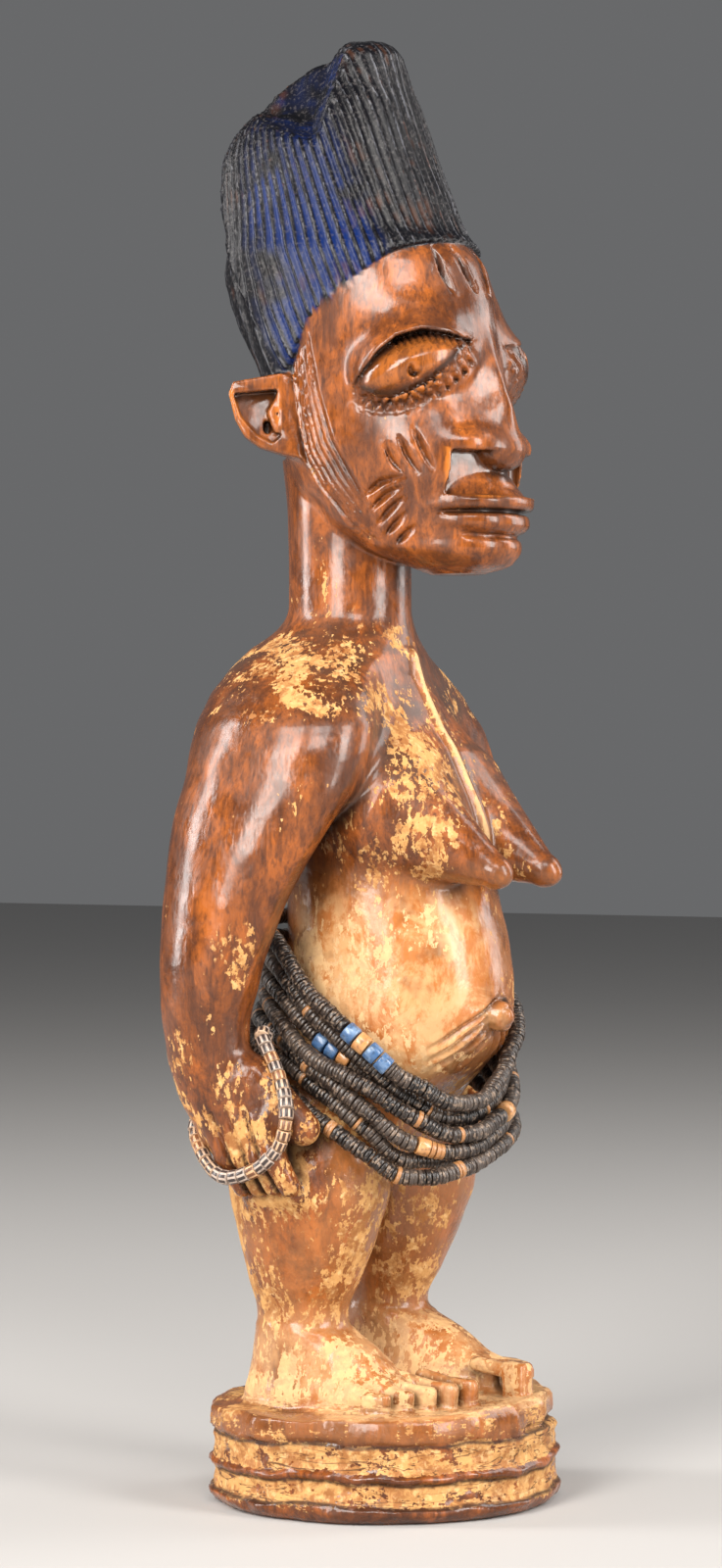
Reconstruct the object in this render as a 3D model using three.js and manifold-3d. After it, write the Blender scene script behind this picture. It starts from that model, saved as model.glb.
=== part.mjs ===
// A carved wooden twin figure of West Africa: a standing woman on a round plinth, cut from one
// block of wood, with seven strings of shell discs slung round her hips and a beaded bracelet on
// her right wrist. Millimetres, +Z up. She faces -Y and her right hand is at -X. The origin is at
// the centre of the plinth's underside.
import * as THREE from 'three';
import { mergeVertices } from 'three/addons/utils/BufferGeometryUtils.js';
import Module from 'manifold-3d';

const wasm = await Module();
wasm.setup();

// Driving dimensions
const figureHeight = 275;
const plinthRadius = 33.2;
const plinthHeight = 19.6;
const discRadius = 1.5;
const glassBeadRadius = 1.65;
const glassBeadLength = 2.5;
const clearance = 0.3;
const braceletBeadRadius = 1.2;

// The carver's part: the body is 275 parts high, and its proportions are given in parts.
const part = figureHeight / 275;

const woodColour = new THREE.Color(0.36, 0.15, 0.06);
const shellColour = new THREE.Color(0.09, 0.075, 0.065);
const blueColour = new THREE.Color(0.09, 0.19, 0.42);
const ochreColour = new THREE.Color(0.62, 0.38, 0.16);
const stripedColour = new THREE.Color(0.25, 0.15, 0.1);

const finish = (color, roughness) => new THREE.MeshStandardMaterial({ color, roughness, metalness: 0 });

// A geometry as bare corners and faces, with the corners of a seam shared.
function seamless(geometry) {
  const bare = geometry.clone();
  bare.deleteAttribute('normal');
  bare.deleteAttribute('uv');
  return mergeVertices(bare, 1e-4);
}

// Turns a closed geometry into a solid that can be joined and cut.
function solidOf(geometry) {
  const merged = seamless(geometry);
  return new wasm.Manifold(new wasm.Mesh({
    numProp: 3,
    vertProperties: new Float32Array(merged.attributes.position.array),
    triVerts: new Uint32Array(merged.index.array),
  }));
}

function geometryOf(solid) {
  const mesh = solid.getMesh();
  const geometry = new THREE.BufferGeometry();
  geometry.setAttribute('position', new THREE.BufferAttribute(new Float32Array(mesh.vertProperties), 3));
  geometry.setIndex(new THREE.BufferAttribute(new Uint32Array(mesh.triVerts), 1));
  geometry.computeVertexNormals();
  return geometry;
}

function joined(solids) {
  return solids.reduce((whole, solid) => whole.add(solid));
}

function mirrored(geometry) {
  const other = geometry.clone().scale(-1, 1, 1);
  const index = other.index.array;
  for (let i = 0; i < index.length; i += 3) {
    [index[i], index[i + 1]] = [index[i + 1], index[i]];
  }
  return other;
}

// Moves every corner of a geometry to where the rule puts it.
function reshaped(geometry, rule) {
  const shape = seamless(geometry);
  const position = shape.attributes.position;
  const point = new THREE.Vector3();
  for (let i = 0; i < position.count; i += 1) {
    point.fromBufferAttribute(position, i);
    rule(point);
    position.setXYZ(i, point.x, point.y, point.z);
  }
  shape.computeVertexNormals();
  return shape;
}

const signedPower = (value, power) => Math.sign(value) * Math.abs(value) ** power;

// A carved mass given by level cross-sections from the bottom up. Each level is
// [height, middle x, front y, back y, half width, squareness], in parts: squareness 2 is an oval
// and more is boxier. The ripple pushes the skin in or out by a rule of angle and height.
function carvedMass(levels, sides, ripple = () => 0) {
  const rows = levels.length - 1;
  const shell = new THREE.CylinderGeometry(1, 1, rows, sides, rows).rotateX(Math.PI / 2);
  return reshaped(shell, (p) => {
    const [z, x, front, back, halfWidth, squareness] = levels[Math.round(p.z + rows / 2)];
    const reach = Math.hypot(p.x, p.y);
    const angle = Math.atan2(p.y, p.x);
    const push = reach * ripple(angle, z);
    const halfDepth = (back - front) / 2;
    p.set(
      x + reach * halfWidth * signedPower(Math.cos(angle), 2 / squareness) + push * Math.cos(angle),
      (front + back) / 2 + reach * halfDepth * signedPower(Math.sin(angle), 2 / squareness) + push * Math.sin(angle),
      z,
    ).multiplyScalar(part);
  });
}

// A rounded lump with its own half sizes, turned about X, then Y, then Z, in degrees.
function lump(middle, halfSizes, turn = [0, 0, 0], sides = 10, rows = 6) {
  const [turnX, turnY, turnZ] = turn.map(THREE.MathUtils.degToRad);
  return new THREE.SphereGeometry(1, sides, rows)
    .rotateX(Math.PI / 2)
    .scale(...halfSizes)
    .rotateX(turnX)
    .rotateY(turnY)
    .rotateZ(turnZ)
    .translate(...middle)
    .scale(part, part, part);
}

// A round-ended rod between two points, in parts.
function rod(from, to, radius, sides = 5) {
  const start = new THREE.Vector3(...from);
  const end = new THREE.Vector3(...to);
  const along = end.clone().sub(start);
  const turn = new THREE.Quaternion().setFromUnitVectors(new THREE.Vector3(0, 1, 0), along.clone().normalize());
  const middle = start.add(end).multiplyScalar(0.5);
  return new THREE.CapsuleGeometry(radius, along.length(), 2, sides)
    .applyQuaternion(turn)
    .translate(middle.x, middle.y, middle.z)
    .scale(part, part, part);
}

const bothSides = (geometry) => [solidOf(geometry), solidOf(mirrored(geometry))];

// Plinth: a round block with three bands, parted by two grooves
const grooveDepth = 1.2;
const plinthTop = plinthHeight / part;
const plinthLevels = [
  [0, -1],
  [0.08, 0],
  [0.36, -grooveDepth],
  [0.43, -0.2],
  [0.48, -grooveDepth],
  [0.7, -grooveDepth],
  [0.75, -0.5],
  [0.95, -0.6],
  [1, -1.6],
].map(([share, step]) => {
  const radius = plinthRadius / part + step;
  return [share * plinthTop, 0, -radius, radius, radius, 2];
});
const plinth = carvedMass(plinthLevels, 30);

// Legs: short, with the thighs pushed forward over narrow ankles
const legLevels = [
  [plinthTop - 2, 14, -0.8, 20.4, 8.6, 2.2],
  [28, 14, 1.2, 18.8, 8.2, 2],
  [34, 14, 1.2, 17.8, 8, 2],
  [42, 14.4, -1.8, 19.4, 9.8, 2],
  [52, 15, -6.6, 21, 12.6, 2.1],
  [61, 15.2, -9.2, 22.5, 13.8, 2.2],
  [68, 14.4, -8.4, 23.2, 12.8, 2.2],
  [76, 12, -4, 22.6, 10.3, 2],
  [80, 10, 0, 21, 8.6, 2],
];
const leg = carvedMass(legLevels, 12);

// Feet: flat wedges on the plinth, each with five stubby toes, her left one a little ahead
const leftFootLead = 3.4;
const footLevels = [
  [plinthTop - 1, 13.8, -19.6, 20.6, 8.6, 2.6],
  [plinthTop + 2.4, 13.8, -19.6, 20.8, 8.6, 2.6],
  [plinthTop + 5, 13.8, -17.4, 20, 8.2, 2.4],
  [plinthTop + 9, 13.9, -8.4, 18.6, 7.6, 2.2],
  [plinthTop + 14, 14, -1.2, 17.6, 7.4, 2],
];
const toeCount = 5;
function footParts(lead) {
  const stretched = footLevels.map(([z, x, front, ...rest], level) => (
    [z, x, front - lead * (1 - level / (footLevels.length - 1)), ...rest]
  ));
  const toes = Array.from({ length: toeCount }, (_, i) => {
    const share = i / (toeCount - 1);
    const x = THREE.MathUtils.lerp(6.8, 21.6, share);
    const tip = THREE.MathUtils.lerp(-25.2, -13.8, share) - lead;
    const radius = THREE.MathUtils.lerp(2.4, 1.8, share);
    return rod([x - 0.8 * share, tip + 9, plinthTop + 3.6], [x, tip + radius, plinthTop + radius - 0.3], radius);
  });
  return [carvedMass(stretched, 12), ...toes];
}
const feet = [
  ...footParts(0).map((piece) => solidOf(mirrored(piece))),
  ...footParts(leftFootLead).map(solidOf),
];

// Trunk: buttocks, hips, round belly, waist, chest and sloping shoulders in one mass
const trunkLevels = [
  [59, 0, -3, 23, 13, 2.2],
  [66, 0, -7, 27, 19, 2.2],
  [74, 0, -12, 28, 21, 2.2],
  [82, 0, -19.5, 26, 20.6, 2.1],
  [89, 0, -24, 21.5, 20.2, 2.1],
  [95, 0, -25.2, 19, 19.8, 2.1],
  [103, 0, -24.4, 17.6, 19.4, 2.1],
  [112, 0, -22, 17.4, 19.4, 2.1],
  [124, 0, -19.5, 19.5, 20, 2.1],
  [136, 0, -15.6, 25, 21.4, 2.2],
  [146, 0, -11.4, 28, 21.6, 2.3],
  [153, 0, -7.6, 27.4, 20.4, 2.2],
  [159.5, 0, -4, 25.2, 17.6, 2],
  [164.5, 0, -2.6, 21.4, 12.6, 2],
];
const trunk = carvedMass(trunkLevels, 18);
const breast = lump([10, -18.6, 125], [9.6, 14.6, 7.4], [30, 0, 2], 12, 7);
const nipple = lump([9.4, -30.2, 118.4], [2.3, 2.8, 2.3], [20, 0, 0], 8, 5);
const navel = lump([0, -26, 92], [2.1, 1.6, 2.4], [0, 0, 0], 8, 5);

// Arms: heavy from the shoulder, bowed back at the elbow, with flat hands laid on the thighs
const armLevels = [
  [59, 29.6, 2, 15.4, 3.4, 2.2],
  [66, 30.6, 2.6, 18.8, 4.6, 2.2],
  [72, 32, 4.4, 21, 5.4, 2.2],
  [79, 33.4, 8, 23.6, 6, 2.2],
  [87, 34.6, 8.4, 24.8, 6.9, 2],
  [97, 35.2, 6.4, 25.2, 8, 2],
  [108, 34.6, 2.8, 25.4, 9, 2],
  [117, 33, -0.4, 25.2, 9.8, 2],
  [127, 30.4, -1, 25.4, 10.6, 2],
  [136, 28, -4.4, 24.4, 11, 2],
  [143, 25.6, -5, 24.6, 11.6, 2.1],
  [150, 22, -3, 24, 11.4, 2.1],
  [156, 16.4, -0.6, 23.6, 10.4, 2],
  [161, 9, 1, 22.6, 9, 2],
];
const arm = carvedMass(armLevels, 12);
const fingerCount = 4;
const fingers = Array.from({ length: fingerCount }, (_, i) => {
  const share = i / (fingerCount - 1);
  const knuckle = [32.6, THREE.MathUtils.lerp(6, 19.4, share), THREE.MathUtils.lerp(69, 71.5, share)];
  const tip = [31.2, THREE.MathUtils.lerp(1.8, 13.4, share), THREE.MathUtils.lerp(58.4, 59, share)];
  return rod(knuckle, tip, 2);
});
const thumb = rod([32, 8.4, 80], [31, -3.2, 71.4], 2.4);

// Neck, and a long head that leans back into the coiffure
const neckLevels = [
  [158, 0, -5, 22, 12.4, 2],
  [163, 0, -4, 20.4, 11.6, 2],
  [170, 0, -4, 19.6, 11.2, 2],
  [194, 0, -4, 20, 11.2, 2],
];
const neck = carvedMass(neckLevels, 16);
const headLevels = [
  [174.4, 0, -23, -10, 6, 2],
  [176.4, 0, -27.6, -5, 10, 2.2],
  [181, 0, -29.4, 4, 13.6, 2.2],
  [187, 0, -29, 11, 16.2, 2.2],
  [193, 0, -28.6, 17, 18, 2.2],
  [201, 0, -25.6, 21.4, 19.2, 2.2],
  [211, 0, -23.4, 25.4, 19.8, 2.1],
  [221, 0, -22.6, 28.4, 20, 2.1],
  [229, 0, -21, 30.6, 19.4, 2],
  [236, 0, -18.2, 31.6, 18, 2],
  [242, 0, -12, 31, 15, 2],
];
const head = carvedMass(headLevels, 18);

// Features of the face: a broad nose with a flat underside, bar-like lips and bulging almond eyes
const nose = carvedMass([
  [196.4, 0, -28.4, -20, 9.4, 2],
  [198.6, 0, -28.6, -20, 9.6, 2],
  [202.6, 0, -28.6, -20, 6.4, 2],
  [208, 0, -27, -20, 4, 2],
  [216, 0, -24, -20, 3.4, 2],
], 12);
const noseTip = lump([0, -27, 196.8], [5.4, 3.6, 3.4], [0, 0, 0], 8, 5);
const upperLip = carvedMass([
  [185.1, 0, -29.2, -10, 11.8, 2.2],
  [186, 0, -30.2, -10, 12.4, 2.2],
  [187.8, 0, -30.2, -10, 12.2, 2.2],
  [188.9, 0, -29, -10, 11.2, 2.2],
], 14);
const lowerLip = carvedMass([
  [181, 0, -28.2, -10, 10.6, 2.2],
  [182, 0, -29.4, -10, 11.8, 2.2],
  [183.8, 0, -29.6, -10, 12.2, 2.2],
  [184.7, 0, -28.8, -10, 11.8, 2.2],
], 14);
const eye = lump([11.5, -13.4, 212.6], [10.8, 9.2, 6], [0, 20, 52], 12, 7);

// Ears: flat cups turned forwards, square above and drawn in to a point at the jaw
const earThickness = 2.6;
const earOutline = [[-2, 211.6], [1, 211.8], [9.6, 209.8], [10.2, 207.4], [8.8, 202.8], [6, 199.2], [3, 196.6], [0, 194.2], [-2, 193]];
const earHollow = [[1.6, 207.6], [8.4, 206.6], [7.4, 202.6], [4.8, 199.6], [1.6, 197.6]];
const earOut = new THREE.Vector3(0.55, 0.835, 0);
const earFace = new THREE.Vector3(0.835, -0.55, 0);
const earRoot = new THREE.Vector3(18.6, 10.4, 0);
function earPlate(outline, thickness, lift) {
  const shape = new THREE.Shape(outline.map(([out, z]) => new THREE.Vector2(out, z)));
  return new THREE.ExtrudeGeometry(shape, { depth: thickness, bevelEnabled: false })
    .translate(0, 0, lift)
    .applyMatrix4(new THREE.Matrix4().makeBasis(earOut, new THREE.Vector3(0, 0, 1), earFace))
    .translate(...earRoot.toArray())
    .scale(part, part, part);
}
const ear = solidOf(earPlate(earOutline, earThickness, -earThickness / 2))
  .subtract(solidOf(earPlate(earHollow, earThickness, 0)));
const earGeometry = geometryOf(ear);

// Coiffure: a tall crest that leans back, plaited from the hairline to a notched top
const plaitCount = 18;
const plaitDepth = 0.55;
const plaitRipple = (angle) => plaitDepth * Math.cos(angle * plaitCount);
const crestLevels = [
  [208, 0, -8, 26.6, 19, 2],
  [224, 0, -18, 31.6, 20.2, 2],
  [231, 0, -18.6, 32.4, 19.8, 2],
  [238, 0, -15.4, 33, 18.8, 2],
  [245, 0, -12.4, 35, 17.8, 2],
  [251, 0, -9.5, 35.4, 17.2, 2],
  [256.7, 0, -7.5, 32.7, 16, 2],
  [261.4, 0, -5.8, 28.4, 14.5, 2],
  [266, 0, -4.2, 21.4, 12, 2],
  [270.6, 0, -2.8, 14.5, 8.6, 2],
  [274, 0, -1, 8, 5, 2],
  [275, 0, 0.5, 5, 2.4, 2],
];
// The hairline seen from her side, as [y, z]; the block in front of and below it is cut away
const hairline = [[40, 209], [12, 209], [8, 212], [1.5, 225], [-11, 234.5], [-19, 238], [-40, 239], [-40, 190], [40, 190]];
const hairCutShape = new THREE.Shape(hairline.map(([y, z]) => new THREE.Vector2(y * part, z * part)));
const hairCutWidth = 60 * part;
const hairCut = new THREE.ExtrudeGeometry(hairCutShape, { depth: hairCutWidth, bevelEnabled: false })
  .applyMatrix4(new THREE.Matrix4().makeBasis(
    new THREE.Vector3(0, 1, 0),
    new THREE.Vector3(0, 0, 1),
    new THREE.Vector3(1, 0, 0),
  ))
  .translate(-hairCutWidth / 2, 0, 0);
// The valley across the top: lower on her right, with a fold that opens towards each side
const valleyNear = new THREE.Vector3(-15.4, 6.3, 256);
const valleyFar = new THREE.Vector3(10, 21, 269);
const valleyShape = new THREE.Shape([[0, 0], [8, 6], [16, 30], [-2, 30], [-3, 9]].map(([a, b]) => new THREE.Vector2(a * part, b * part)));
const valleyAlong = valleyFar.clone().sub(valleyNear).normalize();
const valleySide = new THREE.Vector3(0, 0, 1).cross(valleyAlong).normalize();
const valleyUp = valleyAlong.clone().cross(valleySide);
const valleyLength = 60 * part;
const valley = new THREE.ExtrudeGeometry(valleyShape, { depth: valleyLength, bevelEnabled: false })
  .translate(0, 0, -valleyLength / 2)
  .applyMatrix4(new THREE.Matrix4().makeBasis(valleySide, valleyUp, valleyAlong))
  .translate(...valleyNear.clone().add(valleyFar).multiplyScalar(part / 2).toArray());
const crest = solidOf(carvedMass(crestLevels, plaitCount * 2, plaitRipple))
  .subtract(solidOf(hairCut))
  .subtract(solidOf(valley));

const figureSolid = joined([
  solidOf(plinth),
  ...bothSides(leg),
  ...feet,
  solidOf(trunk),
  ...bothSides(breast),
  ...bothSides(nipple),
  solidOf(navel),
  ...bothSides(arm),
  ...fingers.flatMap(bothSides),
  ...bothSides(thumb),
  solidOf(neck),
  solidOf(head),
  solidOf(nose),
  solidOf(noseTip),
  solidOf(upperLip),
  solidOf(lowerLip),
  ...bothSides(eye),
  ...bothSides(earGeometry),
  crest,
]);

const object = new THREE.Group();

function place(name, geometry, material) {
  const mesh = new THREE.Mesh(geometry, material);
  mesh.name = name;
  object.add(mesh);
  return mesh;
}

// How far the carved skin reaches from the hips' middle line at a bearing and a height, in parts
const hipMiddle = -1;
const hipMasses = [
  { levels: trunkLevels, flip: 1 },
  { levels: legLevels, flip: 1 },
  { levels: legLevels, flip: -1 },
];
function isInWood(x, y, z) {
  return hipMasses.some(({ levels, flip }) => {
    const upper = levels.findIndex((level) => level[0] > z);
    if (upper < 1) return false;
    const share = (z - levels[upper - 1][0]) / (levels[upper][0] - levels[upper - 1][0]);
    const [middleX, front, back, halfWidth, squareness] = levels[upper]
      .slice(1)
      .map((value, i) => THREE.MathUtils.lerp(levels[upper - 1][i + 1], value, share));
    const across = Math.abs(x - flip * middleX) / halfWidth;
    const deep = Math.abs(y - (front + back) / 2) / ((back - front) / 2);
    return across ** squareness + deep ** squareness < 1;
  });
}
function skinReach(angle, z) {
  for (let reach = 40; reach > 0; reach -= 0.1) {
    if (isInWood(reach * Math.cos(angle), hipMiddle + reach * Math.sin(angle), z)) return reach;
  }
  return 0;
}

// Waist strands: closed strings of shell discs. At eight bearings, from her right hip round by
// the front, the middle strand has a height; each strand lies so many pitches above it and so
// many further out than the common oval. The wood pushes a strand out where it must.
const hipOvalX = 24.2;
const hipOvalY = 22.6;
const strandPitch = 2 * discRadius + 0.4;
const bearings = [180, 225, 270, 315, 0, 45, 90, 135];
const middleHeights = [84, 72.2, 70, 80.6, 92, 96, 97, 94.2];
const strandRise = [
  [3.7, 2.3, 2.6, 4, 3.8, 3.6, 3.6, 3.8],
  [2.5, 1.3, 1.5, 2.65, 2.5, 2.4, 2.4, 2.5],
  [1.1, 0.2, 0.4, 1.35, 1.25, 1.2, 1.2, 1.3],
  [0, 0, 0, 0, 0, 0, 0, 0],
  [-1.1, -1.2, -1.1, -1.3, -1.25, -1.2, -1.2, -1.25],
  [-2.2, -1.9, -1.6, -2.6, -2.5, -2.4, -2.4, -2.5],
  [-3.3, -3.1, -2.5, -3.9, -3.75, -3.6, -3.6, -3.75],
];
const strandOut = [
  [0.35, 0.7, 0.4, 0.2, 0, 0, 0, 0],
  [-0.3, -0.35, -0.4, -0.1, 0, 0, 0, 0],
  [-0.6, -1.3, -1.3, -0.2, 0, 0, 0, 0],
  [0.3, 0.3, 0.3, 0.2, 0, 0, 0, 0],
  [-0.1, 0, 0.1, -0.1, 0, 0, 0, 0],
  [-0.5, -1, -1.1, -0.3, 0, 0, 0, 0],
  [0.2, 0.3, 0.1, 0.1, 0, 0, 0, 0],
];
const strandRoom = discRadius + clearance + 0.3;
function strandCurve(strand) {
  const tracks = bearings.map((bearing, i) => new THREE.Vector3(
    THREE.MathUtils.degToRad(bearing),
    middleHeights[i] * part + strandRise[strand][i] * strandPitch,
    strandOut[strand][i] * strandPitch,
  ));
  const outline = new THREE.CatmullRomCurve3(tracks.map(({ x: angle, y: z, z: out }) => new THREE.Vector3(
    (hipOvalX * part + out) * Math.cos(angle),
    hipMiddle * part + (hipOvalY * part + out) * Math.sin(angle),
    z,
  )), true, 'centripetal');
  const eased = outline.getSpacedPoints(32).slice(0, 32).map((point) => {
    const angle = Math.atan2(point.y - hipMiddle * part, point.x);
    const reach = Math.hypot(point.x, point.y - hipMiddle * part);
    const skin = [-discRadius, 0, discRadius].map((lift) => skinReach(angle, (point.z + lift) / part));
    const least = Math.max(...skin) * part + strandRoom;
    const wanted = Math.max(reach, least);
    return new THREE.Vector3(
      wanted * Math.cos(angle),
      hipMiddle * part + wanted * Math.sin(angle),
      point.z,
    );
  });
  return new THREE.CatmullRomCurve3(eased, true, 'centripetal');
}

const upwards = new THREE.Vector3(0, 0, 1);
function frameAt(curve, share, facing) {
  const wrapped = share - Math.floor(share);
  const point = curve.getPointAt(wrapped);
  const along = curve.getTangentAt(wrapped);
  const side = along.clone().cross(facing).normalize();
  const up = side.clone().cross(along);
  return { point, along, side, up };
}

// A closed string, its section carried once round the curve
function closedString(curve, radius, sides, steps, facing = upwards) {
  const ringRadius = 10;
  return reshaped(new THREE.TorusGeometry(ringRadius, 1, sides, steps), (p) => {
    const { point, side, up } = frameAt(curve, Math.atan2(p.y, p.x) / (2 * Math.PI), facing);
    const across = Math.hypot(p.x, p.y) - ringRadius;
    const lift = p.z;
    p.copy(point).addScaledVector(side, across * radius).addScaledVector(up, lift * radius);
  });
}

// A string or bead between two shares of the curve
function openString(curve, from, to, radius, sides, steps) {
  return reshaped(new THREE.CylinderGeometry(1, 1, 1, sides, steps), (p) => {
    const { point, side, up } = frameAt(curve, from + (0.5 - p.y) * (to - from), upwards);
    const across = p.x;
    const lift = -p.z;
    p.copy(point).addScaledVector(side, across * radius).addScaledVector(up, lift * radius);
  });
}

// The share of the curve that lies at a bearing round the hips
function shareAtBearing(curve, bearing) {
  const samples = 720;
  const wanted = THREE.MathUtils.degToRad(bearing);
  const offBearing = (share) => {
    const point = curve.getPointAt(share);
    return Math.cos(Math.atan2(point.y - hipMiddle * part, point.x) - wanted);
  };
  let best = 0;
  for (let i = 1; i < samples; i += 1) {
    if (offBearing(i / samples) > offBearing(best)) best = i / samples;
  }
  return best;
}

// Glass beads strung among the discs: the strand, the bearing of the run and its beads in turn
const beadRuns = [
  { strand: 1, bearing: 202, beads: ['blue', 'ochre', 'blue', 'blue'] },
  { strand: 3, bearing: 183, beads: ['blue', 'blue', 'ochre'] },
  { strand: 4, bearing: 281, beads: ['ochre'] },
  { strand: 5, bearing: 226, beads: ['ochre'] },
];

place('figure', geometryOf(figureSolid), finish(woodColour, 0.35));
const stringSides = 6;
const stringSteps = 27;
const beadColours = { blue: blueColour, ochre: ochreColour };
const beadTotals = { blue: 0, ochre: 0 };
for (let strand = 1; strand <= strandRise.length; strand += 1) {
  const curve = strandCurve(strand - 1);
  const run = beadRuns.find((candidate) => candidate.strand === strand);
  if (run === undefined) {
    place(`waist_strand_${strand}`, closedString(curve, discRadius, stringSides, stringSteps), finish(shellColour, 0.55));
    continue;
  }
  const lengthShare = (length) => length / curve.getLength();
  const runLength = run.beads.length * (glassBeadLength + clearance) + clearance;
  const start = shareAtBearing(curve, run.bearing) - lengthShare(runLength / 2);
  const string = openString(curve, start + lengthShare(runLength), start + 1, discRadius, stringSides, stringSteps);
  place(`waist_strand_${strand}`, string, finish(shellColour, 0.55));
  run.beads.forEach((kind, i) => {
    const from = start + lengthShare(clearance + i * (glassBeadLength + clearance));
    const bead = openString(curve, from, from + lengthShare(glassBeadLength), glassBeadRadius, 8, 1);
    beadTotals[kind] += 1;
    place(`${kind}_bead_${beadTotals[kind]}`, bead, finish(beadColours[kind], 0.3));
  });
}

// Bracelet: a loose ring of small beads that hangs askew round her right hand
const braceletTrack = [
  [-31, 6.8, 88],
  [-33.2, 1, 79.6],
  [-35.4, -1.4, 74],
  [-35.8, 0, 68.6],
  [-36, 4.6, 64.4],
  [-36.6, 10, 62.6],
  [-36, 15.4, 63.6],
  [-35.6, 20.6, 67.4],
  [-33.6, 24.4, 72],
  [-28.4, 24.2, 75.6],
  [-25.4, 20, 79.6],
  [-25, 14, 84.4],
  [-27.2, 8.8, 88],
];
const braceletFacing = new THREE.Vector3(-0.93, 0.3, 0.2);
const braceletCurve = new THREE.CatmullRomCurve3(
  braceletTrack.map((point) => new THREE.Vector3(...point).multiplyScalar(part)),
  true,
  'centripetal',
);
const bracelet = closedString(braceletCurve, braceletBeadRadius, 6, 22, braceletFacing.normalize());
place('wrist_bracelet', bracelet, finish(stripedColour, 0.5));

export default object;
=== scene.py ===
"""A carved wooden twin figure on its plinth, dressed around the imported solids. Blender 4.5, metres, +Z up.

The woman and her plinth are one block of wood. The block is carved here as a field of distances: masses
are added, hollows are cut and lines are engraved, and the skin where the distance is nought becomes the
mesh. Sizes of the carving are in carver's parts, 275 to the height of the figure, and PART turns them
into metres. She faces -Y, and her right hand is at -X.
"""

from __future__ import annotations

import logging
import math
from dataclasses import dataclass
from enum import Enum
from typing import Callable, Sequence, Union

import bpy
import numpy as np
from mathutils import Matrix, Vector

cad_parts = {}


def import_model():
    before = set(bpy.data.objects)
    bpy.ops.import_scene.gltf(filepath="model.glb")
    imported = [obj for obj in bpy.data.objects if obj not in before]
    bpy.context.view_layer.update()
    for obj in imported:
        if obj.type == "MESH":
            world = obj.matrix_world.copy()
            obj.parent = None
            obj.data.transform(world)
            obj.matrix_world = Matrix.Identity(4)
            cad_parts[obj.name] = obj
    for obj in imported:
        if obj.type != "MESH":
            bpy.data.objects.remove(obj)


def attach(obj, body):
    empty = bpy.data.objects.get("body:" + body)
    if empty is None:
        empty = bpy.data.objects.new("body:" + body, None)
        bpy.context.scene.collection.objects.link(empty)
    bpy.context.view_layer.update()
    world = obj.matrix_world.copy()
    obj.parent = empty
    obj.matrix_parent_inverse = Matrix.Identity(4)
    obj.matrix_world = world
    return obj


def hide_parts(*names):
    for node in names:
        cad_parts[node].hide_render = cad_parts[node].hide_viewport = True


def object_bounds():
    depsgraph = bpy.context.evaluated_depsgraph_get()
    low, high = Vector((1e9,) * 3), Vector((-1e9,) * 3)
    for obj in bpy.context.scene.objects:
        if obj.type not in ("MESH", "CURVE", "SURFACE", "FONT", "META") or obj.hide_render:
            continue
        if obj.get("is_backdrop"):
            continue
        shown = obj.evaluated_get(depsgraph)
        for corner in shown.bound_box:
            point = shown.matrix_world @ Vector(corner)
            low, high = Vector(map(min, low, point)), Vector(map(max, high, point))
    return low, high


log = logging.getLogger("carved_figure")

FIGURE_PARTS = 275.0
PART = 0.275 / FIGURE_PARTS
CURVE_STEPS = 720
UPRIGHT = np.eye(3)

Point = tuple[float, float, float]
Array = np.ndarray
Path = Sequence[tuple[float, float]]
Rows = Sequence[Sequence[float]]
Seam = Union[float, Path]
Rule = Callable[[Array, Array, Array], Array]


# Numbers along a line


def eased(at: Array, knots: Sequence[float], values: Sequence[float]) -> Array:
    """Runs a smooth line that never overshoots through values at rising knots.

    Args:
        at: Where the line is wanted.
        knots: Rising places of the values.
        values: What the line passes through.

    Returns:
        The line's value at each place, held level beyond the ends.
    """
    knots = np.asarray(knots, float)
    values = np.asarray(values, float)
    step = np.diff(knots)
    rise = np.diff(values) / step
    slope = np.zeros_like(values)
    turning = rise[:-1] * rise[1:] <= 0
    weighted = 3 * (step[:-1] + step[1:])
    low = np.where(turning, 1.0, rise[:-1])
    high = np.where(turning, 1.0, rise[1:])
    blend = weighted / ((2 * step[1:] + step[:-1]) / low + (step[1:] + 2 * step[:-1]) / high)
    slope[1:-1] = np.where(turning, 0.0, blend)
    slope[0], slope[-1] = rise[0], rise[-1]
    spot = np.clip(at, knots[0], knots[-1])
    cell = np.clip(np.searchsorted(knots, spot, side="right") - 1, 0, len(step) - 1)
    share = (spot - knots[cell]) / step[cell]
    left = values[cell] + share * step[cell] * slope[cell]
    right = values[cell + 1] - (1 - share) * step[cell] * slope[cell + 1]
    bend = share * share * (3 - 2 * share)
    return left * (1 - bend) + right * bend


def ramp(value: Array, low: float, high: float) -> Array:
    """Rises softly from 0 at low to 1 at high, where low may be the greater of the two."""
    share = np.clip((value - low) / (high - low), 0, 1)
    return share * share * (3 - 2 * share)


def hill(value: Array, width: float) -> Array:
    """Gives a soft hill: 1 where the value is nought, and fading within about its width."""
    return np.exp(-((value / width) ** 2))


def read_off(at: Array, rows: Path) -> Array:
    """Reads values off rows of place and value, with straight lines between them."""
    return np.interp(at, *zip(*rows))


def wander(x: Array, y: Array, z: Array, pitch: float, seed: int) -> Array:
    """Gives a smooth wandering value of about -1 to 1, the same on every run.

    Args:
        x: First coordinates.
        y: Second coordinates.
        z: Third coordinates.
        pitch: Rough length of one wander.
        seed: Chooses the pattern.

    Returns:
        The value at each point.
    """
    dice = np.random.default_rng(seed)
    total = 0.0
    for _ in range(5):
        heading = dice.normal(size=3)
        heading *= 2 * math.pi / pitch * dice.uniform(0.7, 1.4) / np.linalg.norm(heading)
        total = total + np.sin(heading[0] * x + heading[1] * y + heading[2] * z + dice.uniform(0, 6.28))
    return total * 0.45


# Masses: each gives its distance, negative inside


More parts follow.
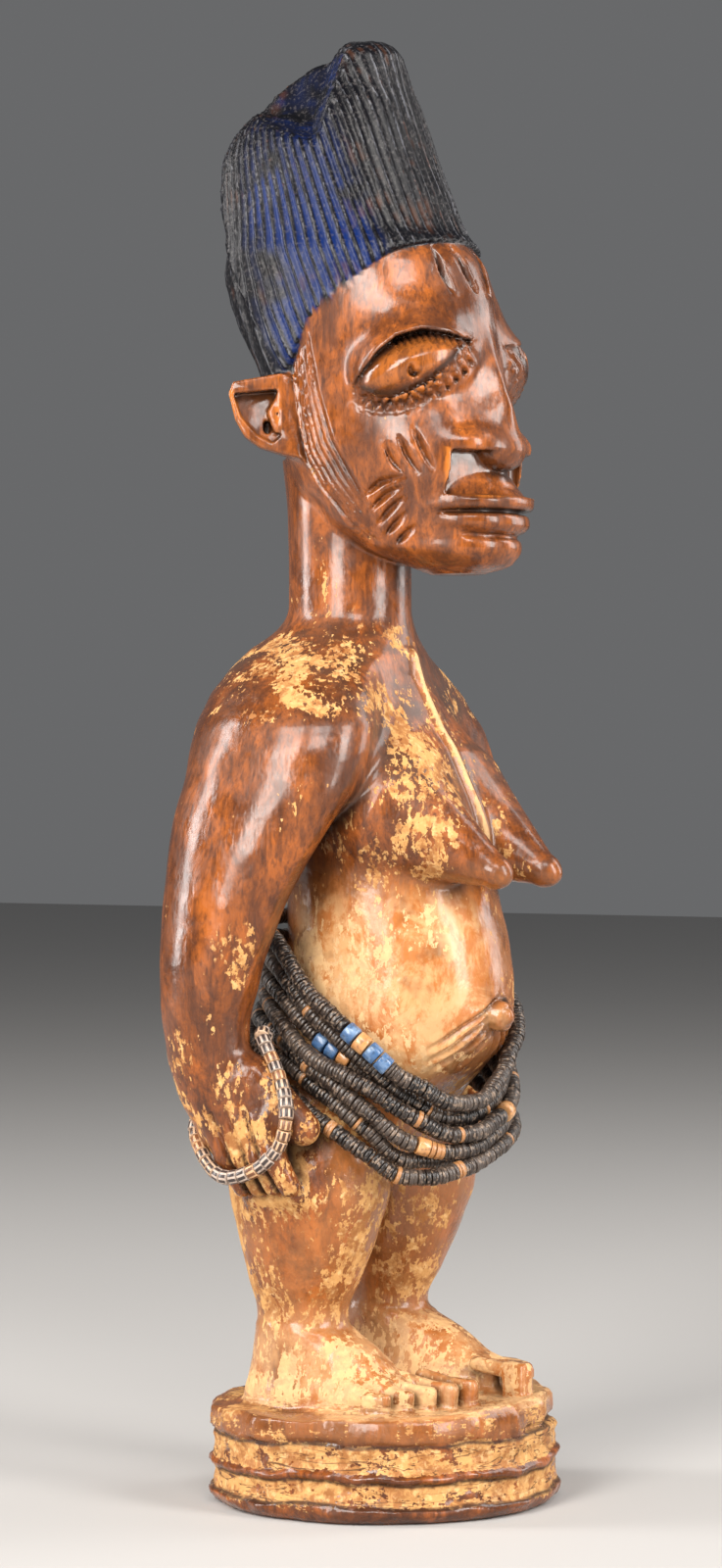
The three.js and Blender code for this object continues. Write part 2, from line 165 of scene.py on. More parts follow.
@dataclass(frozen=True)
class Mass:
    """A form within a box, given by a rule for its distance.

    Attributes:
        low: Lowest corner of the box that holds it.
        high: Highest corner.
        reach: Distance to its skin, negative inside.
    """

    low: Point
    high: Point
    reach: Rule


def mirrored(mass: Mass) -> Mass:
    """Returns the same mass on her other side."""
    return Mass(
        (-mass.high[0], mass.low[1], mass.low[2]),
        (-mass.low[0], mass.high[1], mass.high[2]),
        lambda x, y, z: mass.reach(-x, y, z),
    )


def both(mass: Mass) -> tuple[Mass, Mass]:
    """Gives a mass and its mirror image."""
    return mass, mirrored(mass)


def column(levels: Rows, round_end: float = 0.0) -> Mass:
    """Makes an upright mass from level cross-sections.

    Args:
        levels: Rows of height, middle x, front y, back y, y of the widest place, half width, and
            the squareness of the front and of the back where they are boxier than an oval's 2.
        round_end: Radius by which the top and bottom edges are rounded.

    Returns:
        The mass.
    """
    rows = np.array([(*level, 2, 2)[:8] for level in levels], float)
    heights = rows[:, 0]

    def reach(x: Array, y: Array, z: Array) -> Array:
        """Compares each place with the oval at its height."""
        middle, front, back, widest, half, front_square, back_square = (
            eased(z, heights, rows[:, i]).astype(np.float32) for i in range(1, 8)
        )
        across = np.abs(x - middle) / half
        deep = y - widest
        ahead = deep < 0
        along = np.where(ahead, -deep / (widest - front), deep / (back - widest))
        square = np.where(ahead, front_square, back_square)
        level = (across**square + along**square + 1e-9) ** (1 / square)
        span = np.hypot(x - middle, deep) + 1e-4
        side = span - span / level
        end = np.maximum(heights[0] - z, z - heights[-1]).astype(np.float32)
        if round_end:
            inner_side, inner_end = side + round_end, end + round_end
            corner = np.hypot(np.maximum(inner_side, 0), np.maximum(inner_end, 0))
            return corner + np.minimum(np.maximum(inner_side, inner_end), 0) - round_end
        return np.maximum(side, end)

    low = ((rows[:, 1] - rows[:, 5]).min(), rows[:, 2].min(), heights[0])
    high = ((rows[:, 1] + rows[:, 5]).max(), rows[:, 3].max(), heights[-1])
    return Mass(low, high, reach)


def turned_axes(turn: Point) -> Array:
    """Gives the three axes of a form turned about X, then Y, then Z, in degrees."""
    a, b, c = np.radians(turn)
    about_x = np.array([[1, 0, 0], [0, math.cos(a), -math.sin(a)], [0, math.sin(a), math.cos(a)]])
    about_y = np.array([[math.cos(b), 0, math.sin(b)], [0, 1, 0], [-math.sin(b), 0, math.cos(b)]])
    about_z = np.array([[math.cos(c), -math.sin(c), 0], [math.sin(c), math.cos(c), 0], [0, 0, 1]])
    return (about_z @ about_y @ about_x).T


def along_axes(x: Array, y: Array, z: Array, middle: Point, axes: Array) -> list[Array]:
    """Measures places from a middle along each of three axes."""
    dx, dy, dz = x - middle[0], y - middle[1], z - middle[2]
    return [row[0] * dx + row[1] * dy + row[2] * dz for row in axes]


def lump(middle: Point, half: Point, axes: Array = UPRIGHT) -> Mass:
    """Makes a rounded lump.

    Args:
        middle: Its middle.
        half: Half sizes along its own axes.
        axes: Its axes as rows.

    Returns:
        The mass.
    """
    sizes = np.asarray(half, float)

    def reach(x: Array, y: Array, z: Array) -> Array:
        """Scales each place to the lump's sizes and evens out the distance."""
        local = along_axes(x, y, z, middle, axes)
        near = np.sqrt(sum((value / size) ** 2 for value, size in zip(local, sizes))) + 1e-5
        steep = np.sqrt(sum((value / size**2) ** 2 for value, size in zip(local, sizes))) + 1e-6
        return near * (near - 1) / steep

    spread = np.sqrt(((axes * sizes[:, None]) ** 2).sum(0))
    return Mass(tuple(np.subtract(middle, spread)), tuple(np.add(middle, spread)), reach)


def box(middle: Point, half: Point, rounding: float, axes: Array) -> Mass:
    """Makes a box with rounded edges.

    Args:
        middle: Its middle.
        half: Half sizes along its own axes, rounding included.
        rounding: Radius of its edges.
        axes: Its axes as rows.

    Returns:
        The mass.
    """
    def reach(x: Array, y: Array, z: Array) -> Array:
        """Measures how far places are past each pair of sides."""
        local = along_axes(x, y, z, middle, axes)
        over = [np.abs(value) - size + rounding for value, size in zip(local, half)]
        outer = np.sqrt(sum(np.maximum(gap, 0) ** 2 for gap in over))
        inner = np.minimum(np.maximum(np.maximum(over[0], over[1]), over[2]), 0)
        return outer + inner - rounding

    spread = np.abs(axes.T) @ np.array(half)
    return Mass(tuple(np.subtract(middle, spread)), tuple(np.add(middle, spread)), reach)


def rod(start: Point, end: Point, first: float, last: float) -> Mass:
    """Makes a round-ended rod that may taper.

    Args:
        start: Middle of its first end.
        end: Middle of its last end.
        first: Radius at the start.
        last: Radius at the end.

    Returns:
        The mass.
    """
    origin, along = np.asarray(start, float), np.subtract(end, start)
    length = float(along @ along)

    def reach(x: Array, y: Array, z: Array) -> Array:
        """Measures from the nearest place on the rod's middle line."""
        dx, dy, dz = x - origin[0], y - origin[1], z - origin[2]
        share = np.clip((dx * along[0] + dy * along[1] + dz * along[2]) / length, 0, 1)
        off_x, off_y, off_z = dx - share * along[0], dy - share * along[1], dz - share * along[2]
        return np.sqrt(off_x**2 + off_y**2 + off_z**2) - (first + (last - first) * share)

    wide = max(first, last)
    return Mass(tuple(np.minimum(start, end) - wide), tuple(np.maximum(start, end) + wide), reach)


def polygon_gap(u: Array, v: Array, corners: Path) -> Array:
    """Gives the distance to a closed outline in a plane, negative inside."""
    nearest = np.full(np.broadcast(u, v).shape, 1e9, np.float32)
    inside = np.zeros(nearest.shape, bool)
    for (ax, ay), (bx, by) in zip(corners, [*corners[1:], corners[0]]):
        ex, ey = bx - ax, by - ay
        share = np.clip(((u - ax) * ex + (v - ay) * ey) / (ex * ex + ey * ey), 0, 1)
        nearest = np.minimum(nearest, np.hypot(u - ax - share * ex, v - ay - share * ey))
        crosses = (ay > v) != (by > v)
        where = ax + (v - ay) * ex / (ey if ey else 1e-9)
        inside ^= crosses & (u < where)
    return np.where(inside, -nearest, nearest)


def line_gap(u: Array, v: Array, path: Path) -> tuple[Array, Array]:
    """Gives the distance to an open line in a plane, and the share of its length there.

    Args:
        u: First coordinates.
        v: Second coordinates.
        path: Corners of the line.

    Returns:
        The distance, and the share from 0 at the start to 1 at the end.
    """
    corners = np.asarray(path, float)
    lengths = np.hypot(*np.diff(corners, axis=0).T)
    total = lengths.sum()
    nearest = np.full(np.broadcast(u, v).shape, 1e9, np.float32)
    share = np.zeros_like(nearest)
    walked = 0.0
    for (ax, ay), (bx, by), length in zip(corners[:-1], corners[1:], lengths):
        part = np.clip(((u - ax) * (bx - ax) + (v - ay) * (by - ay)) / length**2, 0, 1)
        gap = np.hypot(u - ax - part * (bx - ax), v - ay - part * (by - ay))
        closer = gap < nearest
        nearest = np.where(closer, gap, nearest)
        share = np.where(closer, (walked + part * length) / total, share)
        walked += length
    return nearest, share


class Block:
    """The block of wood as a grid of distances to the carved skin.

    Attributes:
        axes: The grid's places along X, Y and Z, in parts.
        distance: Distance at each place, negative in the wood.
    """

    FAR = 9.0

    def __init__(self, low: Point, high: Point, pitch: float) -> None:
        """Lays out an empty grid.

        Args:
            low: Lowest corner.
            high: Highest corner.
            pitch: Step of the grid.
        """
        self.pitch = pitch
        self.axes = [np.arange(a, b + pitch, pitch, dtype=np.float32) for a, b in zip(low, high)]
        self.distance = np.full([len(axis) for axis in self.axes], self.FAR, np.float32)

    def window(self, low: Point, high: Point) -> tuple[Array, tuple[Array, Array, Array]]:
        """Cuts out the part of the grid within a box.

        Args:
            low: Lowest corner of the box.
            high: Highest corner.

        Returns:
            The distances there, and the coordinates, shaped to run along their own axes.
        """
        spans = [
            slice(int(np.searchsorted(axis, first)), int(np.searchsorted(axis, last)))
            for axis, first, last in zip(self.axes, low, high)
        ]
        x, y, z = (axis[span] for axis, span in zip(self.axes, spans))
        return self.distance[tuple(spans)], (x[:, None, None], y[None, :, None], z[None, None, :])

    def add(self, mass: Mass, blend: Seam = 0.0, margin: float = 4.0) -> None:
        """Joins a mass to the block with a soft seam.

        Args:
            mass: The mass.
            blend: Width of the seam, or rows of height and width.
            margin: How far beyond its box its distance is kept.
        """
        part, (x, y, z) = self.window(np.subtract(mass.low, margin), np.add(mass.high, margin))
        reach = mass.reach(x, y, z).astype(np.float32)
        part[...] = soft_least(part, reach, seam(blend, z))

    def engrave(self, low: Point, high: Point, depth: Rule) -> None:
        """Sinks the skin within a box by a depth that varies from place to place."""
        part, (x, y, z) = self.window(low, high)
        part += depth(x, y, z).astype(np.float32)

    def sample(self, points: Array) -> Array:
        """Reads the distance at rows of points."""
        start = np.array([axis[0] for axis in self.axes])
        spot = (points - start) / self.pitch
        top = np.array(self.distance.shape) - 2
        cell = np.clip(np.floor(spot).astype(int), 0, top)
        share = np.clip(spot - cell, 0, 1)
        total = 0.0
        for corner in np.ndindex(2, 2, 2):
            weight = np.prod([share[:, i] if corner[i] else 1 - share[:, i] for i in range(3)], axis=0)
            total = total + weight * self.distance[tuple((cell + corner).T)]
        return total

    def slope(self, points: Array, step: float) -> Array:
        """Gives how the distance rises along X, Y and Z at rows of points."""
        rises = [self.sample(points + move) - self.sample(points - move) for move in np.eye(3) * step]
        return np.stack(rises, 1) / (2 * step)

    def skin(self) -> tuple[Array, Array]:
        """Finds the skin as corners and four-sided faces.

        Returns:
            Corners in parts, and faces as rows of four corner numbers.
        """
        field = self.distance
        solid = field < 0
        whole_cell = 8
        cells = tuple(size - 1 for size in solid.shape)
        count = np.zeros(cells, np.int8)
        corners = list(np.ndindex(2, 2, 2))
        for a, b, c in corners:
            count += solid[a : a + cells[0], b : b + cells[1], c : c + cells[2]]
        index = np.argwhere((count > 0) & (count < whole_cell))
        number = np.full(cells, -1, np.int32)
        number[tuple(index.T)] = np.arange(len(index))
        total = np.zeros((len(index), 3))
        crossed = np.zeros(len(index))
        for corner in corners:
            for axis in range(3):
                if corner[axis]:
                    continue
                other = tuple(value + (i == axis) for i, value in enumerate(corner))
                first = field[tuple((index + corner).T)]
                second = field[tuple((index + other).T)]
                hit = (first < 0) != (second < 0)
                share = np.where(hit, first / np.where(hit, first - second, 1), 0)
                place = index + np.asarray(corner, float)
                place[:, axis] += share
                total += place * hit[:, None]
                crossed += hit
        start = np.array([axis[0] for axis in self.axes])
        points = total / crossed[:, None] * self.pitch + start
        faces = []
        for axis in range(3):
            ends = [slice(None)] * 3
            starts = [slice(None)] * 3
            ends[axis], starts[axis] = slice(1, None), slice(None, -1)
            edge = np.argwhere(solid[tuple(starts)] != solid[tuple(ends)])
            first, second = (axis + 1) % 3, (axis + 2) % 3
            inner = (edge[:, first] > 0) & (edge[:, second] > 0)
            for side in (first, second):
                inner &= edge[:, side] < cells[side]
            edge = edge[inner]
            loop = []
            for back_first, back_second in ((1, 1), (0, 1), (0, 0), (1, 0)):
                spot = edge.copy()
                spot[:, first] -= back_first
                spot[:, second] -= back_second
                loop.append(number[tuple(spot.T)])
            loop = np.stack(loop, 1)
            inward = solid[tuple(edge.T)]
            faces.append(np.where(inward[:, None], loop, loop[:, ::-1]))
        return points, np.concatenate(faces)


def seam(blend: Seam, z: Array) -> Array | float:
    """Turns a seam's width, or its rows of height and width, into widths at heights."""
    return blend if isinstance(blend, (int, float)) else read_off(z, blend).astype(np.float32)


def soft_least(first: Array, second: Array, blend: Array | float) -> Array:
    """Takes the lesser of two distances, rounded where they meet."""
    width = np.maximum(blend, 1e-4)
    share = np.clip(0.5 + 0.5 * (second - first) / width, 0, 1)
    return second + (first - second) * share - width * share * (1 - share)


# The carving


@dataclass(frozen=True)
class Plinth:
    """The round plinth with its hand-cut bands.

    Attributes:
        height: Height of the top's middle.
        slant: Rise of the top towards her front left, per part.
        facets: Number of flats cut round the rim.
        bands: Rows of height and radius up the side.
    """

    height: float = 19.3
    slant: float = 0.034
    facets: int = 19
    bands: Path = (
        (0.0, 30.4), (0.6, 31.9), (1.8, 32.9), (2.8, 33.1), (3.3, 32.2), (5.6, 31.9), (7.6, 32.2),
        (8.1, 33.0), (8.8, 33.0), (9.3, 32.1), (11.6, 31.9), (14.0, 32.2), (14.5, 31.9), (15.1, 33.0),
        (16.2, 33.2), (18.4, 33.0), (19.2, 32.4), (20.6, 31.4),
    )

    def ahead(self, x: Array, y: Array) -> Array:
        """Gives how far places lie towards her front left."""
        return 0.54 * x - 0.84 * y

    def level(self, x: Array, y: Array, z: Array) -> Array:
        """Gives heights as the wandering bands follow them."""
        turn = np.arctan2(y, x)
        sway = 0.36 * np.sin(3 * turn + 1.2) + 0.26 * np.sin(7 * turn + 0.4)
        sway = sway + 0.16 * np.sin(13 * turn) + 0.1 * np.sin(23 * turn + 2)
        return z + sway * ramp(z, 0.5, 4.0) - 0.02 * self.ahead(x, y) * ramp(z, 3.0, 13.0)

    def mass(self) -> Mass:
        """Builds the plinth with wandering bands and a faceted rim."""
        def reach(x: Array, y: Array, z: Array) -> Array:
            """Measures from the side, the top and the underside."""
            turn = np.arctan2(y, x)
            radius = read_off(self.level(x, y, z), self.bands).astype(np.float32)
            walked = (turn + 0.05 * np.sin(3 * turn) + 0.03 * np.sin(5 * turn)) / (2 * np.pi / self.facets)
            flat = (walked - np.floor(walked) - 0.5) * 2 * np.pi / self.facets
            chord = math.cos(math.pi / self.facets) / np.cos(flat)
            rim = ramp(z, 14.2, 15.4)
            nicked = 0.13 * rim * np.sin(4.1 * np.floor(walked))
            radius = radius * (1 + (chord - 1) * (0.25 + 1.15 * rim)) + nicked
            radius = radius + 0.3 * np.sin(2 * turn + 2.3) - 1.5 * rim * ramp(self.ahead(x, y), 14, 32)
            rough = 0.2 * wander(x, y, z, 9.0, 5) + 0.16 * wander(0.4 * x, 0.4 * y, z, 2.4, 6)
            side = np.hypot(x, y) - (radius + (1 - rim) * rough)
            top = z - self.height - self.slant * self.ahead(x, y) - 0.25 * wander(x, y, 0 * z, 16.0, 3)
            return np.maximum(np.maximum(side, top), -z)

        return Mass((-34.4, -34.4, 0.0), (34.4, 34.4, 21.0), reach)


@dataclass(frozen=True)
class Foot:
    """A foot that spreads from the ankle to five knobbed toes.

    Attributes:
        lead: How far the foot is ahead of her right one.
        floor: Height of the plinth's top under it.
        toe: Half height of its big toe.
        toe_count: Number of toes.
    """

    lead: float
    floor: float = 19.4
    toe: float = 2.9
    toe_count: int = 5

    def spot(self, share: float) -> tuple[float, float]:
        """Gives the x and the foremost y of a toe, or of a gap, at a share across the foot."""
        return 6.9 + 14.6 * share, -24.2 + 9.6 * share**1.15 - self.lead

    def toes(self) -> list[tuple[Mass, Mass, Mass]]:
        """Builds the toes, from the big one outwards.

        Returns:
            Each toe's ridge, its squared end and its nail.
        """
        groups = []
        for i in range(self.toe_count):
            share = i / (self.toe_count - 1)
            x, tip = self.spot(share)
            width = 1.55 - 0.15 * share
            tall = self.toe - 0.9 * share
            turned = turned_axes((0.0, 0.0, -8.0 - 16.0 * share))
            back = (x - 0.9 * share, tip + 11.5, self.floor + 5.2 - 1.2 * share)
            front = (x, tip + 2.6, self.floor + 2 * self.toe - 2.4 - 1.2 * share)
            ridge = rod(back, front, width * 0.9, width * 0.95)
            end = box((x, tip + 2.6, self.floor - 0.5 + tall), (width * 1.04, 2.7, tall), 0.8, turned)
            nail_top = (x, tip + 0.2, self.floor + 0.1 + 1.2 * tall)
            nail = box(nail_top, (width * 0.62, 0.6, 1.0), 0.3, turned)
            groups.append((ridge, end, nail))
        return groups

    def grooves(self, block: Block, side: int) -> None:
        """Engraves the grooves that run back between the toes.

        Args:
            block: The block.
            side: 1 for her left foot, -1 for her right one.
        """
        def between(x: Array, y: Array, z: Array) -> Array:
            """Gives the grooves' depth, fading backwards and at the plinth."""
            total = 0.0 * (x + y + z)
            gaps = self.toe_count - 1
            for i in range(gaps):
                share = (i + 0.5) / gaps
                line, tip = self.spot(share)
                path = ((line, tip - 1.0), (line, tip + 3.5), (line - 0.9 * share, tip + 13.0))
                gap, walked = line_gap(side * x, y, path)
                total = total + 0.9 * hill(gap, 0.45) * ramp(walked, 1.0, 0.5)
            return total * ramp(z, self.floor + 0.2, self.floor + 1.2)

        low, high = sorted((side * 5.0, side * 24.0))
        block.engrave((low, -31.0, self.floor), (high, 2.0, self.floor + 12.0), between)

    def masses(self) -> list[tuple[Mass, float]]:
        """Builds the foot's masses.

        Returns:
            Each mass with the width of its seam.
        """
        floor, lead = self.floor, self.lead
        body = column((
            (floor - 1.5, 13.9, -15.2 - lead, 21.4, 0, 9.3, 2.8, 2.2),
            (floor + 1.5, 13.9, -15.2 - lead, 21.2, 0, 9.2, 2.8, 2.2),
            (floor + 3.6, 13.8, -14.4 - lead, 20.4, 1, 8.6, 2.6, 2.2),
            (floor + 6.5, 13.7, -10.8 - lead * 0.8, 19.6, 3, 7.6, 2.3, 2.1),
            (floor + 9.5, 13.8, -7.4 - lead * 0.6, 18.6, 5, 7.2, 2.1, 2),
            (floor + 13.0, 14.0, -1.4, 17.6, 7, 7.3),
        ))
        parts = [(body, 2.0)]
        for ridge, end, nail in self.toes():
            parts += [(ridge, 1.4), (end, 0.7), (nail, 0.1)]
        return parts


@dataclass(frozen=True)
class Leg:
    """A short bent leg with a heavy thigh over a narrow ankle."""

    levels: Rows = (
        (17.5, 14.0, -0.6, 20.2, 9, 8.4, 2.2, 2.2),
        (28.0, 14.0, 0.4, 18.8, 9, 8.0),
        (34.0, 14.0, 0.6, 18.0, 9, 8.0),
        (42.0, 14.4, -2.2, 19.4, 8, 9.8),
        (52.0, 15.0, -6.2, 21.0, 7, 12.4, 2.1, 2.1),
        (61.0, 15.2, -8.4, 22.5, 7, 13.4, 2.2, 2.2),
        (68.0, 14.4, -8.6, 23.2, 8, 12.6, 2.2, 2.2),
        (76.0, 12.0, -4.0, 22.6, 10, 10.2),
        (80.0, 10.0, 0.0, 21.0, 10, 8.6),
    )

    def mass(self) -> Mass:
        """Builds her left leg."""
        return column(self.levels)


@dataclass(frozen=True)
class Trunk:
    """Hips, belly, chest and shoulders, with breasts and navel."""

    levels: Rows = (
        (58.5, 0, 2.0, 20.0, 10, 12.0, 2.2, 2.2),
        (63.0, 0, -5.0, 24.6, 9, 16.5, 2.2, 2.2),
        (68.0, 0, -8.6, 27.2, 9, 19.6, 2.2, 2.2),
        (75.0, 0, -12.4, 28.0, 8, 20.8, 2.2, 2.2),
        (82.0, 0, -19.2, 26.2, 5, 20.6, 2.1, 2.2),
        (88.5, 0, -23.8, 22.4, 1, 20.2, 2.1, 2.2),
        (95.0, 0, -25.4, 19.4, -1, 19.8, 2.1, 2.2),
        (103.0, 0, -24.6, 17.6, -2, 19.4, 2.1, 2.2),
        (112.0, 0, -22.2, 17.4, -1, 19.4, 2.1, 2.2),
        (124.0, 0, -19.5, 19.5, 1, 20.0, 2.1, 2.2),
        (136.0, 0, -15.4, 25.0, 5, 21.4, 2.2, 2.2),
        (146.0, 0, -11.4, 28.0, 8, 21.6, 2.2, 2.2),
        (153.0, 0, -7.8, 27.4, 9, 20.0, 2.1, 2.1),
        (159.0, 0, -4.8, 25.0, 9, 16.4),
        (164.0, 0, -3.6, 20.8, 8, 12.0),
        (170.0, 0, -2.6, 18.4, 8, 10.0),
    )

    navel_paths: tuple[Path, ...] = (
        ((-1.6, 94.0), (-8.0, 90.0), (-13.5, 84.5)),
        ((-1.8, 92.2), (-7.4, 87.6), (-12.2, 82.4)),
        ((-1.8, 90.4), (-6.2, 85.4), (-10.4, 80.8)),
        ((-0.8, 89.4), (-2.6, 85.0), (-4.2, 81.0)),
    )

    def sternum_gap(self, x: Array, z: Array) -> Array:
        """Gives how far places are to the side of the breastbone's ridge."""
        return line_gap(x, z, ((0.4, 159.0), (0.2, 140.0), (1.6, 120.0)))[0]

    def carve(self, block: Block) -> None:
        """Adds the trunk and its swells to the block."""
        block.add(column(self.levels), 3.0)
        buttock = lump((9.6, 15.0, 72.0), (10.4, 13.6, 12.0))
        breast = rod((10.8, -9.6, 128.4), (8.9, -29.2, 118.6), 12.0, 3.2)
        nipple = lump((8.9, -30.0, 118.2), (2.6, 3.3, 2.6), turned_axes((22, 0, 0)))
        for mass in both(buttock):
            block.add(mass, 3.0)
        for mass in both(breast):
            block.add(mass, ((112, 1.4), (117, 2.4), (126, 6.0), (140, 9.0)), 14.0)
        for mass in both(nipple):
            block.add(mass, 1.4)
        block.add(lump((-0.3, -25.7, 91.4), (2.7, 2.7, 2.9)), 0.9)

    def marks(self, block: Block) -> None:
        """Engraves the breastbone's ridge, the lines from the navel and the cleft at the back."""
        def sternum(x: Array, y: Array, z: Array) -> Array:
            """Raises the ridge, fading at its foot."""
            return -0.95 * hill(self.sternum_gap(x, z), 1.1) * (y < 0) * ramp(z, 116, 124)

        def navel_lines(x: Array, y: Array, z: Array) -> Array:
            """Cuts two rings, and lines with a raised edge that run down from them."""
            ring = np.hypot(x + 0.3, z - 91.4)
            total = 0.5 * hill(ring - 1.7, 0.32) + 0.3 * hill(ring - 3.4, 0.4) + 0.0 * y
            for path in self.navel_paths:
                for side in (1, -1):
                    gap, share = line_gap(side * x, z, path)
                    fade = ramp(share, 1.0, 0.7) * ramp(ring, 2.8, 3.6)
                    total = total + (0.85 * hill(gap, 0.5) - 0.3 * hill(gap - 1.1, 0.5)) * fade
            return total * (y < 0)

        def cleft(x: Array, y: Array, z: Array) -> Array:
            """Cuts the cleft, fading at its top."""
            return 2.6 * hill(x, 1.4) * ramp(y, 8, 16) * ramp(z, 84, 74)

        block.engrave((-5, -32, 115), (5, 0, 160), sternum)
        block.engrave((-15, -32, 80), (15, -4, 96), navel_lines)
        block.engrave((-5, 6, 56), (5, 32, 86), cleft)


@dataclass(frozen=True)
class Arm:
    """An arm bowed back at the elbow, with a flat hand on the thigh.

    Attributes:
        levels: Cross-sections from the wrist up to the neck.
        seam: Width of the seam with the trunk, by height.
        drawn_back: How far its front is drawn back, by height.
        fingers: Number of fingers that show.
    """

    levels: Rows = (
        (63.5, 30.4, 2.0, 14.6, 9, 3.0, 2.2, 2.2),
        (67.0, 31.2, 1.8, 18.2, 10, 4.2, 2.2, 2.2),
        (72.0, 32.2, 3.4, 20.8, 12, 5.0, 2.2, 2.2),
        (79.0, 33.4, 7.2, 23.6, 15, 5.8, 2.2, 2.2),
        (87.0, 34.6, 8.4, 24.8, 16, 6.9),
        (97.0, 35.2, 6.4, 25.4, 15, 8.0),
        (108.0, 34.6, 2.8, 25.6, 13, 8.8),
        (117.0, 33.2, -1.2, 25.4, 12, 9.6),
        (127.0, 30.4, -6.4, 25.6, 11, 10.8),
        (136.0, 27.4, -10.6, 24.6, 9, 11.6),
        (143.0, 24.8, -11.4, 24.8, 8, 12.2),
        (149.0, 21.4, -9.6, 24.4, 8, 12.0),
        (154.0, 17.2, -6.8, 23.6, 9, 11.0),
        (159.0, 10.4, -3.0, 22.4, 10, 9.4),
    )
    seam: Path = ((60, 0.6), (120, 0.8), (129, 2.0), (136, 5.0), (142, 6.5), (150, 7.0), (165, 7.0))
    drawn_back: Path = ((0.0, 0.0), (1.0, 0.0))
    fingers: int = 4

    def masses(self) -> list[tuple[Mass, Seam]]:
        """Builds her left arm with its hand.

        Returns:
            Each mass with its seam.
        """
        rows = [
            (z, x, front + float(read_off(z, self.drawn_back)), *rest)
            for z, x, front, *rest in self.levels
        ]
        parts: list[tuple[Mass, Seam]] = [(column(rows, 1.5), self.seam)]
        for i in range(self.fingers):
            share = i / (self.fingers - 1)
            thick = 2.3 if i == 0 else 2.0
            knuckle = (34.2 + 0.8 * share, 4.8 + 10.6 * share, 73.0)
            middle = (34.0, 2.4 + 10.6 * share, 66.4)
            tip = (31.7, 0.6 + 10.0 * share, 61.2 - 0.8 * share)
            parts.append((rod(knuckle, middle, thick, thick + 0.1), 1.0))
            parts.append((rod(middle, tip, thick + 0.1, thick * 0.92), 0.7))
        parts.append((rod((32.8, 7.6, 81.0), (30.2, -1.6, 71.6), 4.0, 3.2), 3.0))
        parts.append((rod((27.6, 2.0, 59.4), (27.6, 11.0, 58.8), 2.6, 2.2), 1.6))
        return parts

    def finger_gaps(self, block: Block) -> None:
        """Engraves the grooves that part the fingers up the back of both hands."""
        def grooves(x: Array, y: Array, z: Array) -> Array:
            """Gives the grooves' depth, fading towards the wrist."""
            total = 0.0 * (x + y + z)
            gaps = self.fingers - 1
            for i in range(gaps):
                back = 10.6 * (i + 0.5) / gaps
                path = ((6.4 + back * 0.8, 78.0), (4.8 + back, 73.0), (2.4 + back, 66.4), (-0.2 + back, 58.0))
                total = total + 0.7 * hill(line_gap(y, z, path)[0], 0.4) * ramp(z, 78.0, 73.5)
            return total

        block.engrave((-38, -3, 57), (-30, 18, 78), grooves)
        block.engrave((30, -3, 57), (38, 18, 78), grooves)


